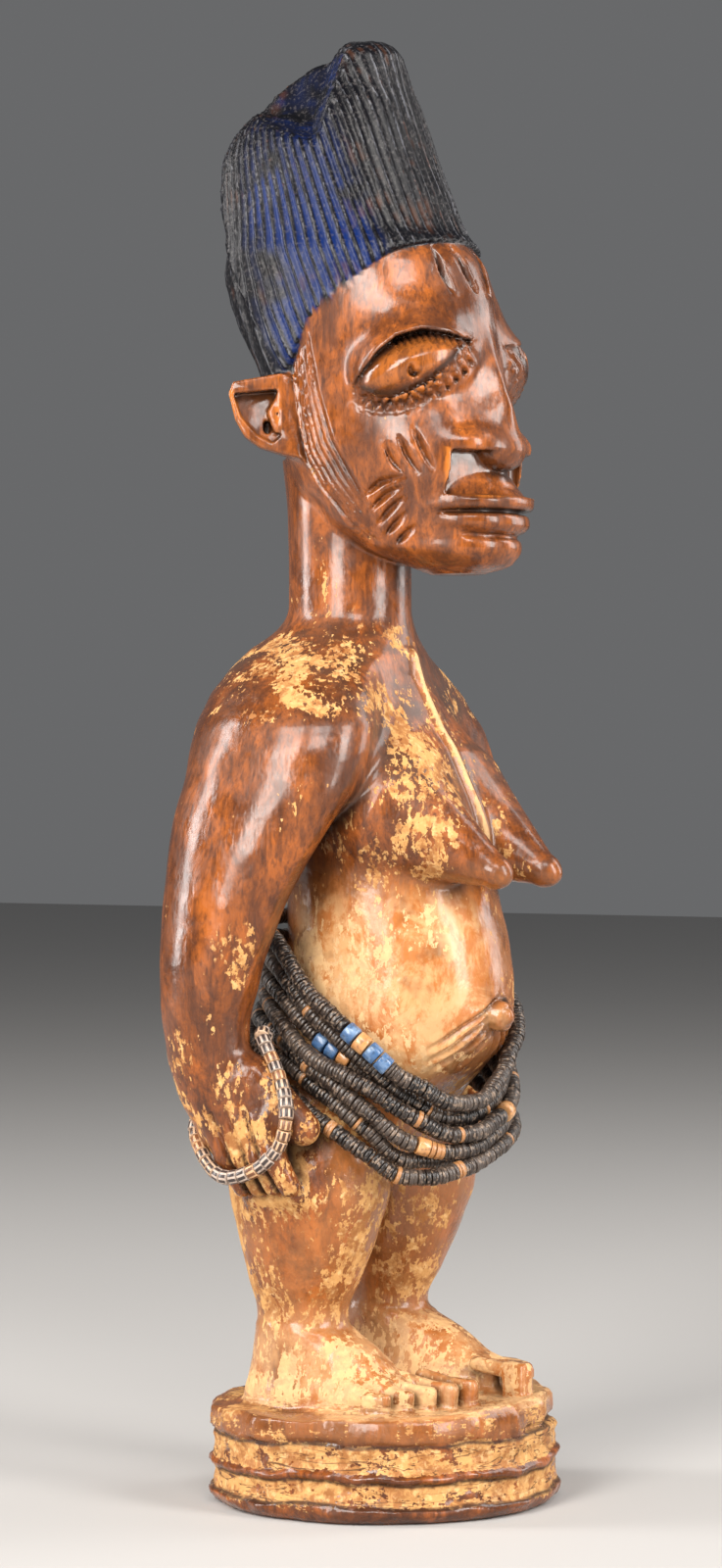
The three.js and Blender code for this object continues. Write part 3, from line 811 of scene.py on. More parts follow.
@dataclass(frozen=True)
class Eye:
    """A large bulging eye under an overhanging lid, with a notched lower rim.

    Attributes:
        middle: Middle of her left eye.
        half: Half sizes of the swell along the lids, outwards and up.
        opening: Corners of the opening, along the lids and up.
        rim: Corners of the notched band's outer edge.
        slant: Degrees by which the outer corner hangs.
        face: Bearing in degrees of the lids' line from +X.
    """

    middle: Point = (11.8, -13.2, 212.2)
    half: Point = (11.8, 9.5, 8.8)
    opening: Path = (
        (11.6, -0.8), (9.2, 1.7), (5.7, 3.9), (1.6, 5.3), (-3.2, 5.0), (-7.2, 3.0), (-11.8, 0.2),
        (-6.8, -2.4), (-2.0, -4.3), (2.3, -5.0), (6.0, -4.9), (8.6, -3.7), (10.4, -2.1),
    )
    rim: Path = (
        (13.0, -1.0), (11.6, -4.6), (8.6, -6.9), (5.3, -7.9), (1.3, -7.9), (-2.5, -6.6), (-7.2, -4.2),
        (-12.6, -0.2),
    )
    slant: float = 20.0
    face: float = 52.0

    def axes(self) -> Array:
        """Gives the directions along the lids, outwards and up, as rows."""
        slant, face = math.radians(self.slant), math.radians(self.face)
        out = np.array((math.sin(face), -math.cos(face), 0.0))
        level = math.cos(slant)
        along = np.array((math.cos(face) * level, math.sin(face) * level, -math.sin(slant)))
        return np.array((along, out, np.cross(out, along)))

    def local(self, x: Array, y: Array, z: Array) -> list[Array]:
        """Gives places along the lids, outwards and up, on either side of the face."""
        return along_axes(np.abs(x), y, z, self.middle, self.axes())

    def shine(self, x: Array, y: Array, z: Array) -> Array:
        """Gives the share to which places lie on the rubbed eyeballs."""
        along, out, up = self.local(x, y, z)
        return ramp(polygon_gap(along, up, self.opening), -0.5, -1.6) * ramp(out, 2.0, 4.0)

    def painted_shade_line(self, x: Array, y: Array, z: Array) -> Array:
        """Gives the share of painted shade in the line between eyeball and lids."""
        along, out, up = self.local(x, y, z)
        line = hill(polygon_gap(along, up, self.opening) + 0.45, 0.5)
        return line * ramp(out, 2.0, 4.0) * ramp(up, 2.5, 0.5)

    def lid_edge(self, x: Array, y: Array, z: Array) -> Array:
        """Gives the share to which places lie on the edge of an upper lid."""
        along, _, up = self.local(x, y, z)
        gap = np.abs(polygon_gap(along, up, self.opening) - 0.4)
        return ramp(gap, 2.2, 1.2) * (up > 0) * (y < 0)

    def carve(self, block: Block) -> None:
        """Adds the swells, opens the lids and carves the eyeballs and rims."""
        axes = self.axes()
        for mass in both(lump(self.middle, self.half, axes)):
            block.add(mass, ((200, 1.8), (211, 2.0), (216, 3.6), (224, 6.0)), 10.0)
        ball = lump((0.0, 0.0, 0.0), (self.half[0] * 0.97, self.half[1] * 1.03, 6.8))
        part, (x, y, z) = block.window((-26.0, -30.0, 198.0), (26.0, 2.0, 224.0))
        along, out, up = self.local(x, y, z)
        shown = ramp(out, 0.0, 2.0)
        lid = polygon_gap(along, up, self.opening)
        eyeball = ball.reach(along, out, up + np.where(x < 0, 1.5, 0.2))
        under = 9.5 * np.sqrt(np.clip(1 - (along / self.half[0]) ** 2, 0.04, 1)) + 1.2 * (up + 2.2)
        eyeball = np.maximum(eyeball, (out - under) * 0.64)
        recess = np.minimum(np.minimum(-lid - 0.1, eyeball), part + np.where(x < 0, 3.0, 1.0))
        part[...] = np.where(out > 0, np.maximum(part, recess), part)
        beyond, share = line_gap(along, up, self.rim)
        inside_rim = ramp(lid, 0.1, 0.5) * ramp(beyond, 0.0, 0.4) * (up < 1.0) * (lid < 3.4)
        wave = np.abs(np.mod(share * 15.0, 1) - 0.5) * 2
        tooth = np.abs(lid / np.maximum(lid + beyond, 0.3) - 0.2 - 0.6 * wave)
        notch = np.where(x < 0, 0.75, 0.2) * ramp(tooth, 0.3, 0.05) * inside_rim
        edge = 0.55 * hill(beyond, 0.36) + 0.3 * hill(lid - 0.1, 0.3) * (up < 1.0)
        part += ((notch + edge * ramp(along, 13.5, 12.5)) * shown).astype(np.float32)
        upper, _ = line_gap(along, up, self.opening[1:7])
        lash = np.abs(np.mod(along / 1.2, 1) - 0.5) * 2
        near_lid = ramp(upper, 3.0, 2.2) * (lid < -0.3) * (along < 2.5) * (along > -10.0)
        part += (0.75 * ramp(lash, 0.5, 0.1) * near_lid * shown).astype(np.float32)
        pupil = np.hypot(along - 0.9, up + 1.9) - 1.15
        bite = np.hypot(along + 0.1, up + 1.5) - 1.0
        part += (1.3 * ramp(np.maximum(pupil, -bite), 0.2, -0.3) * shown * (lid < 0)).astype(np.float32)
        fold = hill(upper - 0.7, 0.6) * (lid > 0) * (up > -1)
        part -= (0.22 * fold * shown * ramp(np.abs(along), 12.0, 9.0)).astype(np.float32)


@dataclass(frozen=True)
class Head:
    """The long head with the conventional features of such figures.

    Attributes:
        axis: Y of the upright line that bearings on the face are taken about.
        radius: Radius that turns a bearing into a length.
        levels: Cross-sections of the head.
        cheek: Strokes on the cheek, as bearing in degrees and height.
        jaw: Strokes on the jaw.
        brow: Strokes on the forehead.
        front_line: Foremost of the long lines from ear to chin.
        rear_line: Hindmost of them.
        line_count: Number of long lines.
    """

    axis: float = 5.0
    radius: float = 20.0
    levels: Rows = (
        (173.6, 0, -21.5, -11.0, -16, 4.5),
        (175.6, 0, -26.8, -6.0, -15, 9.2, 2.2, 2),
        (180.0, 0, -28.2, 4.0, -8, 13.4, 2.1, 2),
        (187.0, 0, -27.8, 11.5, -2, 16.3, 2.3, 2),
        (193.0, 0, -27.6, 16.5, 0, 17.9, 2.6, 2),
        (201.0, 0, -25.8, 18.8, 1, 19.2, 2.4, 2),
        (211.0, 0, -23.6, 20.4, 2, 19.6, 2.0, 2),
        (221.0, 0, -22.6, 25.4, 3, 19.8, 2.1, 2.1),
        (229.0, 0, -20.7, 28.4, 4, 19.2),
        (236.0, 0, -16.0, 31.0, 5, 17.2),
        (242.0, 0, -10.0, 30.0, 6, 13.6),
    )
    cheek: tuple[Path, ...] = (
        ((48.0, 197.4), (44.4, 194.2), (39.0, 191.2)),
        ((42.4, 198.8), (39.0, 195.2), (34.2, 191.4)),
        ((37.0, 200.2), (34.0, 196.4), (29.9, 192.0)),
    )
    jaw: tuple[Path, ...] = (
        ((56.0, 187.6), (48.0, 190.2), (38.6, 191.0)),
        ((53.0, 184.9), (46.0, 187.6), (39.4, 189.3)),
        ((49.0, 182.2), (43.5, 185.0), (38.0, 187.5)),
        ((44.2, 180.4), (40.6, 182.4), (37.0, 184.6)),
        ((38.8, 178.8), (36.0, 180.4), (33.0, 182.3)),
    )
    brow: tuple[Path, ...] = (
        ((21.2, 234.4), (20.0, 229.6), (17.0, 224.8)),
        ((9.6, 234.4), (8.0, 230.2), (4.8, 225.6)),
    )
    front_line: Path = (
        (90.0, 219.0), (88.5, 215.0), (82.9, 206.8), (75.2, 198.4), (64.9, 192.0), (57.6, 187.9),
        (53.0, 184.4), (46.0, 180.6),
    )
    rear_line: Path = (
        (104.0, 217.0), (101.3, 209.5), (99.0, 201.3), (94.6, 194.9), (84.7, 190.0), (65.8, 183.6),
        (50.0, 179.9), (40.0, 177.9),
    )
    line_count: int = 6

    def neck(self) -> Mass:
        """Builds the neck."""
        return column((
            (158.0, 0, -5.0, 25.4, 9, 15.6),
            (162.0, 0, -3.7, 22.6, 8, 13.0),
            (168.0, 0, -4.0, 19.6, 8, 11.3),
            (182.0, 0, -4.0, 19.8, 8, 11.2),
            (196.0, 0, -4.0, 21.0, 8, 12.0),
        ))

    def nose(self) -> list[tuple[Mass, float]]:
        """Builds the nose's wedge, its wings and its rounded tip.

        Returns:
            Each mass with the width of its seam.
        """
        wedge = column((
            (195.6, 0, -26.6, -16, -19, 9.6, 1.9, 2),
            (196.4, 0, -27.8, -16, -19, 10.2, 1.9, 2),
            (198.4, 0, -28.5, -16, -19, 10.2, 1.8, 2),
            (202.5, 0, -28.2, -16, -19, 8.6, 1.6, 2),
            (208.0, 0, -26.6, -16, -19, 7.2, 1.4, 2),
            (214.0, 0, -24.4, -16, -19, 6.4, 1.4, 2),
            (219.0, 0, -22.6, -16, -18, 6.0, 1.5, 2),
        ), 0.8)
        tip = lump((0.0, -25.3, 196.6), (6.4, 4.5, 4.3))
        wing = lump((7.2, -23.0, 197.2), (4.9, 4.2, 3.0), turned_axes((0.0, 0.0, 24.0)))
        return [(wedge, 1.6), (wing, 1.8), (mirrored(wing), 1.8), (tip, 1.4)]

    def hollow_under_nose(self, block: Block) -> None:
        """Cuts the sunk planes between the nose and the upper lip."""
        part, (x, y, z) = block.window((-15, -34, 187.6), (15, -16, 196.4))
        away = np.abs(x)
        shelf = -29.0 + 0.85 * (z - 188.4) + 0.07 * away**2
        facet = -25.3 + 0.60 * np.maximum(away - 3.0, 0)
        wall = -21.2 + 0.92 * (12.4 - away)
        open_top = z - 195.9
        septum = 1.0 - np.sqrt((x / 6.4) ** 2 + ((y + 25.3) / 4.5) ** 2 + ((z - 196.6) / 4.3) ** 2)
        cut = np.maximum(np.maximum(open_top, y - np.minimum(np.minimum(shelf, facet), wall)), septum * 3.0)
        part[...] = -soft_least(-part, np.maximum(cut, away - 12.4).astype(np.float32), 0.3)

    def mouth(self, block: Block) -> None:
        """Engraves the line of the mouth and the crease under the lower lip."""
        def lines(x: Array, y: Array, z: Array) -> Array:
            """Gives the depth of both, fading towards the cheeks."""
            away = np.abs(x)
            level = 184.9 - 0.0016 * away**2
            mouth = 0.85 * hill(z - level, 0.42) * ramp(away, 12.8, 11.0)
            crease = 0.9 * hill(z - 180.3 - 0.004 * away**2, 0.6) * ramp(away, 10.5, 8.0)
            return (mouth + crease) * (y < -8)

        block.engrave((-16, -32, 178), (16, -8, 187), lines)

    def lips(self) -> list[tuple[Mass, float]]:
        """Builds the bar-like lips.

        Returns:
            Each mass with the width of its seam.
        """
        upper = column((
            (184.8, 0, -29.2, -8, -13, 13.0, 2.3, 2),
            (185.8, 0, -30.0, -8, -13, 13.6, 2.4, 2),
            (187.2, 0, -30.2, -8, -13, 13.6, 2.4, 2),
            (188.4, 0, -29.5, -8, -13, 13.4, 2.4, 2),
            (189.2, 0, -28.0, -8, -13, 12.8, 2.3, 2),
        ), 0.5)
        lower = column((
            (180.2, 0, -27.6, -8, -13, 9.8, 2.2, 2),
            (181.4, 0, -29.0, -8, -13, 11.4, 2.3, 2),
            (183.0, 0, -29.5, -8, -13, 12.6, 2.4, 2),
            (184.9, 0, -29.0, -8, -13, 12.6, 2.3, 2),
        ), 0.5)
        return [(upper, 0.5), (lower, 0.5)]

    def bearing(self, x: Array, y: Array) -> Array:
        """Gives the bearing from straight ahead, as a length round the head."""
        return self.radius * np.arctan2(np.abs(x), self.axis - y)

    def unrolled(self, path: Path) -> Path:
        """Turns bearings in degrees, with heights, into lengths round the head."""
        turn = self.radius * math.pi / 180
        return [(bearing * turn, level) for bearing, level in path]

    def spindles(self, strokes: Sequence[Path], width: float, depth: float) -> Rule:
        """Makes a rule for strokes that swell in the middle.

        Args:
            strokes: Corners of each stroke, as bearing in degrees and height.
            width: Width at the widest.
            depth: Depth at the deepest.

        Returns:
            The rule for their depth.
        """
        def marks(x: Array, y: Array, z: Array) -> Array:
            """Gives the depth of the deepest stroke at each place."""
            around = self.bearing(x, y)
            total = np.zeros(np.broadcast(around, z).shape, np.float32)
            for path in strokes:
                gap, share = line_gap(around, z, self.unrolled(path))
                half = width * 0.5 * np.sin(np.pi * np.clip(share, 0.02, 0.98)) ** 0.6 + 0.05
                deep = depth * np.sin(np.pi * np.clip(share, 0.05, 0.95)) ** 0.5
                total = np.maximum(total, deep * np.clip(1 - gap / half, 0, 1))
            return total

        return marks

    def long_lines(self, x: Array, y: Array, z: Array) -> Array:
        """Gives the depth of the long lines that run from the ear to the chin."""
        around = self.bearing(x, y)
        total = np.zeros(np.broadcast(around, z).shape, np.float32)
        for i in range(self.line_count):
            share = i / (self.line_count - 1)
            path = [
                (a * (1 - share) + c * share, b * (1 - share) + d * share)
                for (a, b), (c, d) in zip(self.front_line, self.rear_line)
            ]
            gap, walked = line_gap(around, z, self.unrolled(path))
            fade = ramp(walked, 1.0, 0.9) * ramp(walked, 0.0, 0.06)
            total = np.maximum(total, 0.95 * hill(gap, 0.45) * fade)
        return total

    def cuts(self, block: Block) -> None:
        """Engraves the strokes on cheeks, jaw and forehead and the long lines by the jaw."""
        block.engrave((-22, -30, 176), (22, -2, 203), self.spindles(self.cheek, 0.85, 1.5))
        block.engrave((-22, -26, 176), (22, 0, 194), self.spindles(self.jaw, 1.7, 1.5))
        block.engrave((-12, -30, 222), (12, -8, 237), self.spindles(self.brow, 1.2, 2.0))
        block.engrave((-23, -16, 175), (23, 14, 222), self.long_lines)


@dataclass(frozen=True)
class Ear:
    """An ear like a flat cup, turned forwards.

    Attributes:
        root: Where it stands on the head, as x and y.
        bearing: Bearing of its plate from +X, in degrees.
        thickness: Thickness of the plate.
        outline: Corners of the plate, outwards and up.
        hollow: Corners of its hollow.
    """

    root: tuple[float, float] = (18.4, 10.2)
    bearing: float = 56.0
    thickness: float = 3.0
    outline: Path = (
        (-3.0, 210.8), (1.0, 211.0), (9.8, 209.4), (10.6, 207.2), (9.4, 202.4), (7.6, 199.2),
        (4.8, 197.2), (0.2, 195.8), (-3.4, 195.0),
    )
    hollow: Path = ((1.6, 208.0), (9.7, 207.2), (8.4, 203.0), (5.4, 199.6), (2.4, 198.0), (0.9, 199.4))

    def carve(self, block: Block) -> None:
        """Adds both ears and hollows them."""
        turn = math.radians(self.bearing)
        out = (math.cos(turn), math.sin(turn))
        face = (math.sin(turn), -math.cos(turn))
        part, (x, y, z) = block.window((-28, 2, 190), (28, 24, 215))
        dx, dy = np.abs(x) - self.root[0], y - self.root[1]
        wide = dx * out[0] + dy * out[1]
        deep = dx * face[0] + dy * face[1]
        back = 3.0 + 0.25 * np.maximum(4 - wide, 0)
        faces = np.maximum(deep - self.thickness / 2, -deep - back)
        plate = np.maximum(polygon_gap(wide, z, self.outline), faces)
        bowl = polygon_gap(wide, z, self.hollow)
        floor = 0.75 - 0.3 * (z - 199.5) - 0.12 * (5 - wide)
        scoop = np.maximum(bowl, floor - deep)
        plate = -soft_least(-plate, scoop.astype(np.float32), 0.35)
        tragus = line_gap(wide, z, ((1.0, 206.6), (2.6, 203.6), (1.6, 200.6)))[0] - 0.75
        plate = soft_least(plate, np.maximum(tragus, np.abs(deep) - self.thickness / 2 + 0.2), 0.5)
        hole = np.maximum(np.hypot(wide - 3.4, (z - 201.0) * 0.6) - 0.75, -deep - 2.4)
        plate = np.maximum(plate, -hole)
        part[...] = soft_least(part, plate.astype(np.float32), 1.3)


@dataclass(frozen=True)
class Coiffure:
    """The tall plaited crest with its notched top.

    Attributes:
        notch: Lowest point of the notch, on her right.
        pitch: Width of one plait.
        lean: Backward lean of the plaits, per part of height.
        depth: Depth of the grooves between them.
        hairline: The edge over brow and temple from the side, as y and z.
    """

    notch: Point = (-15.6, 5.9, 254.6)
    pitch: float = 2.2
    lean: float = 0.40
    depth: float = 0.9
    hairline: Path = (
        (60, 205), (16, 205), (12.5, 210), (8.5, 213.5), (5.0, 220.2), (0.5, 224.6), (-5.0, 228.6),
        (-11.0, 233.2), (-19.0, 236.6), (-60, 240), (-60, 150), (60, 150),
    )
    levels: Rows = (
        (205.0, 0, -6.0, 24.8, 6, 17.0, 2, 2.2),
        (212.0, 0, -10.0, 28.6, 6, 19.2, 2, 2.2),
        (219.0, 0, -14.0, 31.0, 7, 20.4, 2, 2.2),
        (226.0, 0, -19.0, 32.2, 7, 20.8, 2, 2.2),
        (232.0, 0, -20.0, 32.4, 7, 20.8, 2.1, 2.2),
        (238.0, 0, -15.7, 32.6, 8, 19.6, 2.1, 2.2),
        (245.0, 0, -12.8, 34.8, 9, 18.0, 2.1, 2.1),
        (251.0, 0, -10.2, 35.0, 10, 17.0, 2.1, 2.1),
        (256.5, 0, -8.2, 33.4, 10, 15.9, 2.1, 2.1),
        (261.5, 0, -6.4, 29.0, 10, 14.3, 2.1, 2),
        (266.0, 0, -4.8, 25.4, 10, 12.2, 2, 2.2),
        (270.4, 0, -3.4, 20.2, 8, 9.6, 2, 2.2),
        (273.6, 0, -1.6, 13.6, 6, 6.2),
        (275.0, 0, 0.8, 9.0, 5, 2.6),
    )

    def round_length(self, x: Array, y: Array, z: Array) -> Array:
        """Gives the length round the crest at which the plaits are counted."""
        half_x, half_y = 18.4, 25.0
        middle = 7.0 + self.lean * (z - 238.0)
        grid = np.linspace(0, math.pi, CURVE_STEPS + 1)
        steps = np.hypot(np.diff(half_x * np.sin(grid)), np.diff(-half_y * np.cos(grid)))
        length = np.concatenate(([0.0], np.cumsum(steps)))
        turn = np.arctan2(np.abs(x) / half_x, -(y - middle) / half_y)
        return np.interp(turn, grid, length)

    def fan(self, x: Array, y: Array, z: Array) -> Array:
        """Gives the wave of the plaits inside the notch."""
        dx, dy = x - self.notch[0], y - self.notch[1]
        near = np.abs(np.sin(np.pi * (x + 0.3 * z) / 1.7)) * ramp(x, -3, -6)
        far = np.abs(np.sin(np.arctan2(dy, np.maximum(dx, 0) + 0.5) * 11)) * ramp(x, -6, -3)
        return near + far

    def valley(self, x: Array, y: Array, z: Array) -> Array:
        """Gives the hollow of the notch, open to her right."""
        dx, dy, dz = x - self.notch[0], y - self.notch[1], z - self.notch[2]
        shelf = 0.34 * np.clip(dx, -6, 11.0) + 0.32 * np.maximum(dy, 0)
        shelf = np.minimum(shelf, 7.8) + 2.0 * np.maximum(x + 3.2, 0)
        flank = (dz - shelf) * 0.85
        wave = np.abs(np.sin(np.pi * (0.66 * x + 0.66 * y) / self.pitch))
        front = -0.66 * dx + 0.663 * dy + 0.36 * dz + 0.6 * wave
        return np.minimum(front, flank + 0.7 * self.fan(x, y, z))

    def mass(self) -> Mass:
        """Builds the plaited crest down to the hairline."""
        body = column(self.levels)

        def reach(x: Array, y: Array, z: Array) -> Array:
            """Carves the plaits, the hairline, the rear edge and the notch from the body."""
            where = self.round_length(x, y, z) + 0.16 * wander(x, y, z, 30.0, 8)
            ridge = np.abs(np.sin(np.pi * where / self.pitch))
            depth = self.depth * (0.35 + 0.65 * ramp(z, 274.5, 266))
            shell = body.reach(x, y, z) + depth * ridge**0.85
            hair = polygon_gap(y + 0 * z, z + 0 * y, self.hairline)
            behind = (17.5 + 0.7 * (z - 221.6) - y) * 0.8
            behind = behind * ramp(z, 240, 234) + 3.0 * ramp(z, 234, 240)
            shell = -soft_least(-shell, np.minimum(hair, behind).astype(np.float32), 0.3)
            return -soft_least(-shell, -self.valley(x, y, z), 0.9)

        return Mass(body.low, body.high, reach)

    def nape_wave(self, x: Array, y: Array, z: Array) -> Array:
        """Gives the wave of the fine plaits on the roll behind."""
        turn = np.arctan2(np.abs(x), y - 8.0 - 0.5 * (z - 220.0))
        return np.abs(np.sin(turn * 17))

    def nape(self) -> Mass:
        """Builds the finely plaited roll behind the crest."""
        body = column((
            (203.0, 0, 8.0, 18.4, 12, 14.6),
            (208.0, 0, 6.0, 20.8, 12, 18.0),
            (213.6, 0, 4.0, 23.6, 12, 19.2),
            (218.0, 0, 4.0, 26.8, 12, 19.6),
            (223.0, 0, 4.0, 29.8, 12, 19.6),
            (227.5, 0, 4.0, 31.5, 12, 19.2, 2, 2.1),
            (234.0, 0, 4.0, 32.6, 12, 17.8, 2, 2.2),
            (240.0, 0, 6.0, 30.8, 12, 14.0, 2, 2.2),
        ), 1.5)

        def reach(x: Array, y: Array, z: Array) -> Array:
            """Sinks the grooves between the fine plaits."""
            return body.reach(x, y, z) + 0.5 * self.nape_wave(x, y, z)

        return Mass(body.low, body.high, reach)


class Region(Enum):
    """Kinds of surface on the block, each kept as a share at every corner of the mesh."""

    CRUST = "crust"
    TAN = "tan"
    STAIN = "stain"
    HAIR = "hair"
    GROOVE = "groove"
    DYE = "dye"
    CAVITY = "cavity"
    RIDGE = "ridge"


def keep_shade(mesh: bpy.types.Mesh, name: str, values: Array) -> None:
    """Keeps a value at every corner of a mesh, for the finishes to read."""
    mesh.attributes.new(name, "FLOAT", "POINT").data.foreach_set("value", values.astype(np.float32))


def mesh_piece(
    name: str, points: Array, faces: Array, shades: dict[str, Array] | None = None
) -> bpy.types.Object:
    """Makes a mesh object.

    Args:
        name: Its name.
        points: Corners in parts.
        faces: Rows of corner numbers, all of one length.
        shades: Values at the corners, by name.

    Returns:
        The object, linked to the scene.
    """
    mesh = bpy.data.meshes.new(name)
    corners = faces.shape[1]
    mesh.vertices.add(len(points))
    mesh.vertices.foreach_set("co", (points * PART).astype(np.float32).ravel())
    mesh.loops.add(faces.size)
    mesh.loops.foreach_set("vertex_index", faces.astype(np.int32).ravel())
    mesh.polygons.add(len(faces))
    mesh.polygons.foreach_set("loop_start", np.arange(0, faces.size, corners, dtype=np.int32))
    mesh.update(calc_edges=True)
    mesh.shade_smooth()
    for shade, values in (shades or {}).items():
        keep_shade(mesh, shade, values)
    piece = bpy.data.objects.new(name, mesh)
    bpy.context.scene.collection.objects.link(piece)
    return piece


@dataclass
class Figure:
    """The woman and her plinth, carved from one block.

    Attributes:
        pitch: Step of the grid that the block is carved on.
        most_triangles: The most that the finished mesh may have.
        crust_up: Share of crust by height on plinth, legs, trunk and neck.
        crust_up_arm: Share of crust by height on the arms.
    """

    pitch: float = 0.42
    most_triangles: int = 190_000
    crust_up: Path = (
        (0, 0.1), (2.5, 0.2), (3.2, 0.68), (7.3, 0.72), (7.9, 0.16), (8.8, 0.12), (9.4, 0.72), (13.9, 0.74),
        (14.5, 0.4), (15.2, 0.38), (18.8, 0.42), (19.5, 0.58), (20.4, 0.58), (33, 0.46), (45, 0.38),
        (60, 0.38), (76, 0.46), (84, 0.36), (112, 0.36), (122, 0.40), (132, 0.36), (150, 0.44),
        (160, 0.46), (168, 0.16), (176, -0.4),
    )
    crust_up_arm: Path = (
        (55, 0.5), (64, 0.48), (80, 0.42), (92, 0.22), (108, 0.06), (140, 0.06), (150, 0.38), (158, 0.46),
    )

    def __post_init__(self) -> None:
        """Lays out the block of wood, and a coarser one of the hips for the strings."""
        self.coiffure = Coiffure()
        self.plinth = Plinth()
        self.trunk = Trunk()
        self.block = Block((-46.0, -37.0, -1.5), (46.0, 39.0, 276.5), self.pitch)
        self.hips = Block((-30.0, -32.0, 50.0), (30.0, 34.0, 120.0), 0.8)

    def carve_body(self) -> None:
        """Carves the plinth, feet, legs, trunk, neck and arms."""
        block = self.block
        block.add(self.plinth.mass(), 0.0)
        for foot, turned in ((Foot(3.4, 20.2, 3.3), False), (Foot(0.0), True)):
            for mass, blend in foot.masses():
                block.add(mirrored(mass) if turned else mass, blend)
            foot.grooves(block, -1 if turned else 1)
        for wood in (block, self.hips):
            for mass in both(Leg().mass()):
                wood.add(mass, ((17, 1.5), (30, 3.0), (60, 1.0), (80, 4.0)))
            self.trunk.carve(wood)
        block.add(Head().neck(), ((150, 6.0), (160, 5.0), (165, 2.5), (169, 0.3), (200, 0.3)), 10.0)
        right = Arm()
        front = ((127, 0), (131, 1.0), (136, 4.2), (143, 5.6), (149, 5.9), (154, 4.5), (159, 4.0))
        left = Arm(drawn_back=front)
        for arm in (right, left):
            for mass, blend in arm.masses():
                margin = 4.0 if isinstance(blend, float) else 18.0
                block.add(mass if arm is left else mirrored(mass), blend, margin)
        self.trunk.marks(block)
        left.finger_gaps(block)

    def carve_head(self) -> None:
        """Carves the face, ears and hair."""
        block, head = self.block, Head()
        block.add(column(head.levels), 1.6)
        for mass, blend in head.nose() + head.lips():
            block.add(mass, blend)
        head.hollow_under_nose(block)
        head.mouth(block)
        Eye().carve(block)
        Ear().carve(block)
        head.cuts(block)
        self.roll = self.coiffure.nape()
        self.crest = self.coiffure.mass()
        block.add(self.roll, 0.6)
        block.add(self.crest, 0.15)

    def trimmed(self, piece: bpy.types.Object, triangles: int) -> bpy.types.Mesh:
        """Thins a piece's mesh where it has more triangles than it may.

        Args:
            piece: The piece.
            triangles: How many it has.

        Returns:
            Its mesh.
        """
        if triangles > self.most_triangles:
            trim = piece.modifiers.new("trim", "DECIMATE")
            trim.ratio = self.most_triangles / triangles
            graph = bpy.context.evaluated_depsgraph_get()
            fresh = bpy.data.meshes.new_from_object(piece.evaluated_get(graph))
            old = piece.data
            piece.modifiers.clear()
            piece.data = fresh
            bpy.data.meshes.remove(old)
        return piece.data

    def drawn_to_skin(self, points: Array) -> Array:
        """Moves corners onto the carved skin, and within the figure's height.

        Args:
            points: Corners in parts.

        Returns:
            The corners, moved.
        """
        for _ in range(2):
            slope = self.block.slope(points, self.pitch * 0.6)
            steep = np.maximum((slope**2).sum(1), 0.2)
            move = self.block.sample(points)[:, None] * slope / steep[:, None]
            reach = np.linalg.norm(move, axis=1, keepdims=True)
            points -= move * np.minimum(1, self.pitch / np.maximum(reach, 1e-6))
        points[:, 2] = np.clip(points[:, 2], 0, FIGURE_PARTS)
        return points

    def build(self) -> bpy.types.Object:
        """Carves the block and turns it into a mesh that follows it closely."""
        self.carve_body()
        self.carve_head()
        points, faces = self.block.skin()
        log.info("skin of %d corners", len(points))
        piece = mesh_piece("carved_figure", points, faces)
        mesh = self.trimmed(piece, 2 * len(faces))
        points = np.empty(len(mesh.vertices) * 3, np.float32)
        mesh.vertices.foreach_get("co", points)
        points = self.drawn_to_skin(points.reshape(-1, 3).astype(float) / PART)
        mesh.vertices.foreach_set("co", (points * PART).astype(np.float32).ravel())
        mesh.update()
        mesh.shade_smooth()
        slope = self.block.slope(points, self.pitch)
        normals = slope / np.maximum(np.linalg.norm(slope, axis=1, keepdims=True), 1e-6)
        mesh.normals_split_custom_set_from_vertices(normals.astype(np.float32))
        for region, values in self.regions(points, normals).items():
            keep_shade(mesh, region.value, values)
        return piece

    def hollows_and_ridges(self, points: Array, normals: Array) -> tuple[Array, Array]:
        """Finds how sunk and how proud the surface is, by how much wood lies near.

        Args:
            points: Corners in parts.
            normals: Outward directions there.

        Returns:
            Shares from 0 to 1 of hollow and of ridge.
        """
        cavity, ridge = np.zeros(len(points)), np.zeros(len(points))
        for reach, weight in ((0.8, 0.3), (1.7, 0.3), (3.4, 0.25), (6.5, 0.15)):
            cavity += weight * np.clip(1 - self.block.sample(points + normals * reach) / reach, 0, 1)
        for reach, weight in ((0.7, 0.4), (1.5, 0.4), (3.0, 0.2)):
            ridge += weight * np.clip(1 + self.block.sample(points - normals * reach) / reach, 0, 1)
        return cavity, ridge

    def plaits(self, x: Array, y: Array, z: Array) -> dict[Region, Array]:
        """Finds the hair, its grooves and its dye."""
        crest_gap = np.abs(self.crest.reach(x, y, z))
        roll_gap = np.abs(self.roll.reach(x, y, z))
        hair = np.maximum(ramp(crest_gap, 0.5, 0.25), ramp(roll_gap, 0.5, 0.25)) * (z > 202)
        where = self.coiffure.round_length(x, y, z)
        inside = ramp(-column(self.coiffure.levels).reach(x, y, z), 1.6, 2.8)
        rear = ramp(crest_gap, 0.15, 0.4)
        groove = np.abs(np.sin(np.pi * where / self.coiffure.pitch))
        groove = groove * (1 - rear) + self.coiffure.nape_wave(x, y, z) * rear
        groove = groove * (1 - inside) + np.maximum(1 - self.coiffure.fan(x, y, z), 0.55) * inside
        dye = ramp(where, 17, 23) * ramp(where, 50, 43) * ramp(z, 264, 244) * (1 - 0.8 * rear)
        dye = np.maximum(dye, 0.75 * inside * ramp(x, -14, -8))
        return {Region.HAIR: hair.astype(float), Region.GROOVE: groove, Region.DYE: dye}

